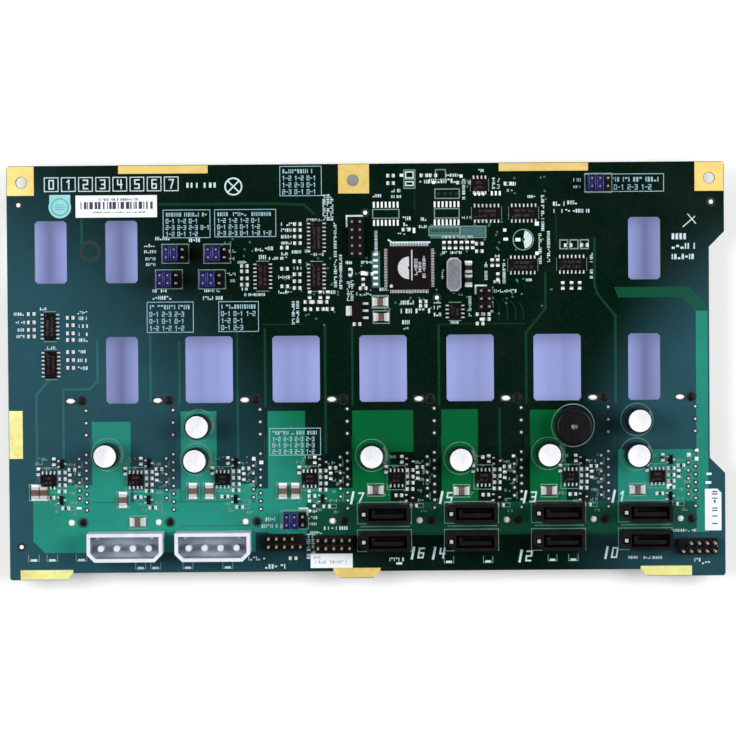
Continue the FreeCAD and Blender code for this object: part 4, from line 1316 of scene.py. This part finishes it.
def makeBrackets():
    # Brackets at the first pins, and other bold signs.
    bm = bmesh.new()
    for points in (
            [(-6.0, 46.4), (-6.0, 49.8), (-1.0, 49.8)], [(35.2, 24.6), (35.2, 27.2), (38.6, 27.2)],
            [(109.0, -59.2), (112.2, -59.2), (112.2, -56.4)],
            [(-21.8, -44.0), (-19.2, -44.0), (-19.2, -46.0)], [(7.4, 42.0), (8.4, 41.2), (20.6, 41.2)]):
        addInk(bm, points, 0.55)
    # The white half of a spare capacitor's place.
    addRing(bm, 50.6, 41.8, boardTop, 2.9, 0.5, silk["height"], 40, math.radians(-80), math.radians(160))
    for low, high in ((61.85, 63.75), (59.4, 60.6)):
        addFrame(bm, 13.05, 15.45, low, high, 0.4)
    for left, right, y in (*silk["feet"], (8.6, 11.6, -61.8)):
        wide = (right - left) * 0.62
        addBlock(bm, (left + right) / 2, y - 0.1, boardTop, wide, 0.75, silk["height"] + 0.02)
    finishPiece("first_pin_brackets", bm, "silk")


makeTables()
makeBayPrint()
makeOutlines()
makeBrackets()
print("print on the board made")

# Marks on the chips, and print on the labels

marks = {
    "height": 0.03,
    "labelHeight": 0.015,
    "seed": 5,
    "barWidths": (0.3, 0.5, 0.8, 1.1),
    "barGaps": (0.25, 0.4, 0.6, 0.8),
}


def makeChipMarks():
    dice = random.Random(marks["seed"])
    bm = bmesh.new()
    height = marks["height"]
    for low, high in solidBoxes("logic_chips") + solidBoxes("bay_switches"):
        x, y = middle((low, high)).xy
        sizeX, sizeY = (high - low).xy
        for row in (-0.75, 0.75):
            if sizeY > sizeX:
                addMarks(bm, dice, x + row, low.y + 1.4, sizeY - 2.6, 0.8, 90, high.z, height)
            else:
                addMarks(bm, dice, low.x + 1.4, y + row, sizeX - 2.6, 0.8, 0, high.z, height)
        first = (low.x + 0.7, high.y - 0.8) if sizeY > sizeX else (low.x + 0.8, low.y + 0.7)
        addDome(bm, *first, high.z, 0.28, 0.02)
    finishPiece("logic_marks", bm, "faintMarking")
    bm = bmesh.new()
    low, high = nodeBox("controller_chip")
    addRoute(bm, [(14.8, 29.2), (14.8, 38.6)], 0.4, high.z, height)
    for x, bottom, length, size in ((16.1, 30.7, 5.7, 1.1), (17.4, 31.6, 3.8, 0.9), (18.7, 29.8, 7.0, 1.0)):
        addMarks(bm, dice, x, bottom, length, size, 90, high.z, height)
    addDome(bm, low.x + 1.2, low.y + 1.2, high.z, 0.55, 0.02)
    addRing(bm, 13.9, 33.0, high.z, 3.6, 0.4, height, 48, math.radians(90), math.pi)
    finishPiece("controller_marks", bm, "marking")


def makeLabelPrint():
    dice = random.Random(marks["seed"] + 1)
    height = marks["labelHeight"]
    bm = bmesh.new()
    low, high = nodeBox("long_label")
    x = low.x + 1.6
    while x < high.x - 1.8:  # a row of plain bars
        wide = dice.choice(marks["barWidths"])
        addBlock(bm, x + wide / 2, 53.7, high.z, wide, 2.3, height)
        x += wide + dice.choice(marks["barGaps"])
    addMarks(bm, dice, -85.4, 55.6, 12.6, 0.8, 0, high.z, height)
    addMarks(bm, dice, -87.6, 51.5, 17.4, 0.45, 0, high.z, height)
    low, high = nodeBox("side_label")
    for y in (-40.5, -43.1, -45.8, -48.5, -50.9):
        addMarks(bm, dice, 111.6, y, 2.0, 1.7, 90, high.z, height)
    finishPiece("dark_label_print", bm, "print")
    bm = bmesh.new()
    low, high = nodeBox("lower_label")
    addMarks(bm, dice, low.x + 1.6, -61.3, 10.0, 1.0, 0, high.z, height)
    addMarks(bm, dice, low.x + 1.0, -59.8, 2.2, 0.9, 0, high.z, height)
    finishPiece("faint_label_print", bm, "faintPrint")
    bm = bmesh.new()
    low, high = nodeBox("round_seal")
    x = (low.x + high.x) / 2
    y = low.y + 3.6
    addRing(bm, x, y, high.z, 2.9, 2.45, height, 40)
    for row, half in ((0.7, 1.3), (0.0, 1.7), (-0.7, 1.3)):
        addRoute(bm, [(x - half, y + row), (x + half, y + row)], 0.26, high.z, height)
    finishPiece("seal_print", bm, "sealPrint")


makeChipMarks()
makeLabelPrint()
print("chip marks and label print made")

# Stage, light and camera

studio = {
    "cameraPlace": (0.0019, 0.0243, 1.0179),
    "cameraTurn": (-1.326, 0.068, -0.422),  # degrees
    "lens": 153.6,
    "worldStrength": 0.385,
    "ceiling": (0.72, 0.95),  # the ceiling right over the board is dark, as round a camera on a copy stand
    "ceilingLeft": 0.02,
    "sidePower": 5.95,
    "sideSize": 0.5,
    "sidePlace": (0.62, 0.12, 0.72),
    "floorSize": 3.0,
    "floorDrop": 0.0002,
    "floorTone": 0.86,
    "floorLift": 0.26,  # what a view of the floor adds to its lit tone
    # The lilac under the board's windows is painted shade for the board's shadow on the floor, lifted by a
    # glow that only the camera sees; the patches below give where it lies.
    "paintedShadeTone": (172, 183, 246),
    "paintedShadeGlow": 0.32,
    "shadePatches": ((-0.0885, 0.1000, -0.0145, 0.0158), (-0.1111, -0.0691, 0.0248, 0.0530),
                (0.0802, 0.0994, 0.0248, 0.0530)),
    "shadePatchSoft": 0.003,
}


def groundOf(tree, place):
    # The share of the painted shade, a lilac patch on the floor in the board's shadow, that shows through the
    # windows of the board, and ends just past them.
    parts = addNode(tree, "ShaderNodeSeparateXYZ", {"Vector": place})
    shadePatches = []
    for left, right, near, far in studio["shadePatches"]:
        shares = []
        for axis, low, high in (("X", left, right), ("Y", near, far)):
            away = mathOf(tree, "ABSOLUTE", mathOf(tree, "SUBTRACT", parts.outputs[axis], (low + high) / 2))
            half = (high - low) / 2
            shares.append(rangeOf(tree, away, half, half - studio["shadePatchSoft"], 0.0, 1.0))
        shadePatches.append(mathOf(tree, "MULTIPLY", *shares))
    under = shadePatches[0]
    for shadePatch in shadePatches[1:]:
        under = mathOf(tree, "MAXIMUM", under, shadePatch)
    return under


def makeFloor():
    bm = bmesh.new()
    bmesh.ops.create_grid(bm, x_segments=1, y_segments=1, size=studio["floorSize"])
    mesh = bpy.data.meshes.new("floor")
    bm.to_mesh(mesh)
    bm.free()
    material = bpy.data.materials.new("pale_floor")
    material.use_nodes = True
    tree = material.node_tree
    tree.nodes.clear()
    under = groundOf(tree, tree.nodes.new("ShaderNodeTexCoord").outputs["Object"])
    tone = studio["floorTone"]
    # Painted shade: lilac under the board's windows, glowing for the camera; even white elsewhere.
    color = blendOf(tree, under, (tone, tone, tone, 1), displayColor(*studio["paintedShadeTone"]))
    diffuse = addNode(tree, "ShaderNodeBsdfDiffuse", {"Color": color})
    seen = tree.nodes.new("ShaderNodeLightPath").outputs["Is Camera Ray"]
    lift = rangeOf(tree, under, 0.0, 1.0, studio["floorLift"], studio["paintedShadeGlow"])
    lift = mathOf(tree, "MULTIPLY", seen, lift)
    glow = addNode(tree, "ShaderNodeEmission", {"Color": color, "Strength": lift})
    total = addNode(tree, "ShaderNodeAddShader", {0: diffuse.outputs["BSDF"], 1: glow.outputs["Emission"]})
    addNode(tree, "ShaderNodeOutputMaterial", {"Surface": total.outputs["Shader"]})
    mesh.materials.append(material)
    floor = bpy.data.objects.new("floor", mesh)
    floor.location.z = -studio["floorDrop"]
    scene.collection.objects.link(floor)


def makeLights():
    world = bpy.data.worlds.new("studio_world")
    scene.world = world
    world.use_nodes = True
    tree = world.node_tree
    tree.nodes.clear()
    direction = tree.nodes.new("ShaderNodeTexCoord").outputs["Generated"]
    height = addNode(tree, "ShaderNodeSeparateXYZ", {"Vector": direction}).outputs["Z"]
    start, end = studio["ceiling"]
    openShare = addNode(tree, "ShaderNodeMapRange", {
        "Value": height, "From Min": start, "From Max": end, "To Min": 1.0,
        "To Max": studio["ceilingLeft"]}, interpolation_type="SMOOTHSTEP").outputs["Result"]
    light = addNode(tree, "ShaderNodeBackground", {
        "Strength": mathOf(tree, "MULTIPLY", openShare, studio["worldStrength"])})
    addNode(tree, "ShaderNodeOutputWorld", {"Surface": light.outputs["Background"]})
    for side in (-1, 1):
        lamp = bpy.data.lights.new("side_lamp", "AREA")
        lamp.shape = "SQUARE"
        lamp.size = studio["sideSize"]
        lamp.energy = studio["sidePower"]
        lampObject = bpy.data.objects.new("side_lamp", lamp)
        x, y, z = studio["sidePlace"]
        lampObject.location = (x * side, y, z)
        lampObject.rotation_euler = (-lampObject.location).to_track_quat("-Z", "Y").to_euler()
        scene.collection.objects.link(lampObject)


def makeCamera():
    camera = bpy.data.cameras.new("camera")
    camera.lens = studio["lens"]
    camera.sensor_width = 36.0
    camera.clip_start = 0.05
    cameraObject = bpy.data.objects.new("camera", camera)
    cameraObject.location = studio["cameraPlace"]
    cameraObject.rotation_euler = [math.radians(turn) for turn in studio["cameraTurn"]]
    scene.collection.objects.link(cameraObject)
    scene.camera = cameraObject
    scene.view_settings.view_transform = "Standard"


makeFloor()
makeLights()
makeCamera()
print("stage, light and camera set")
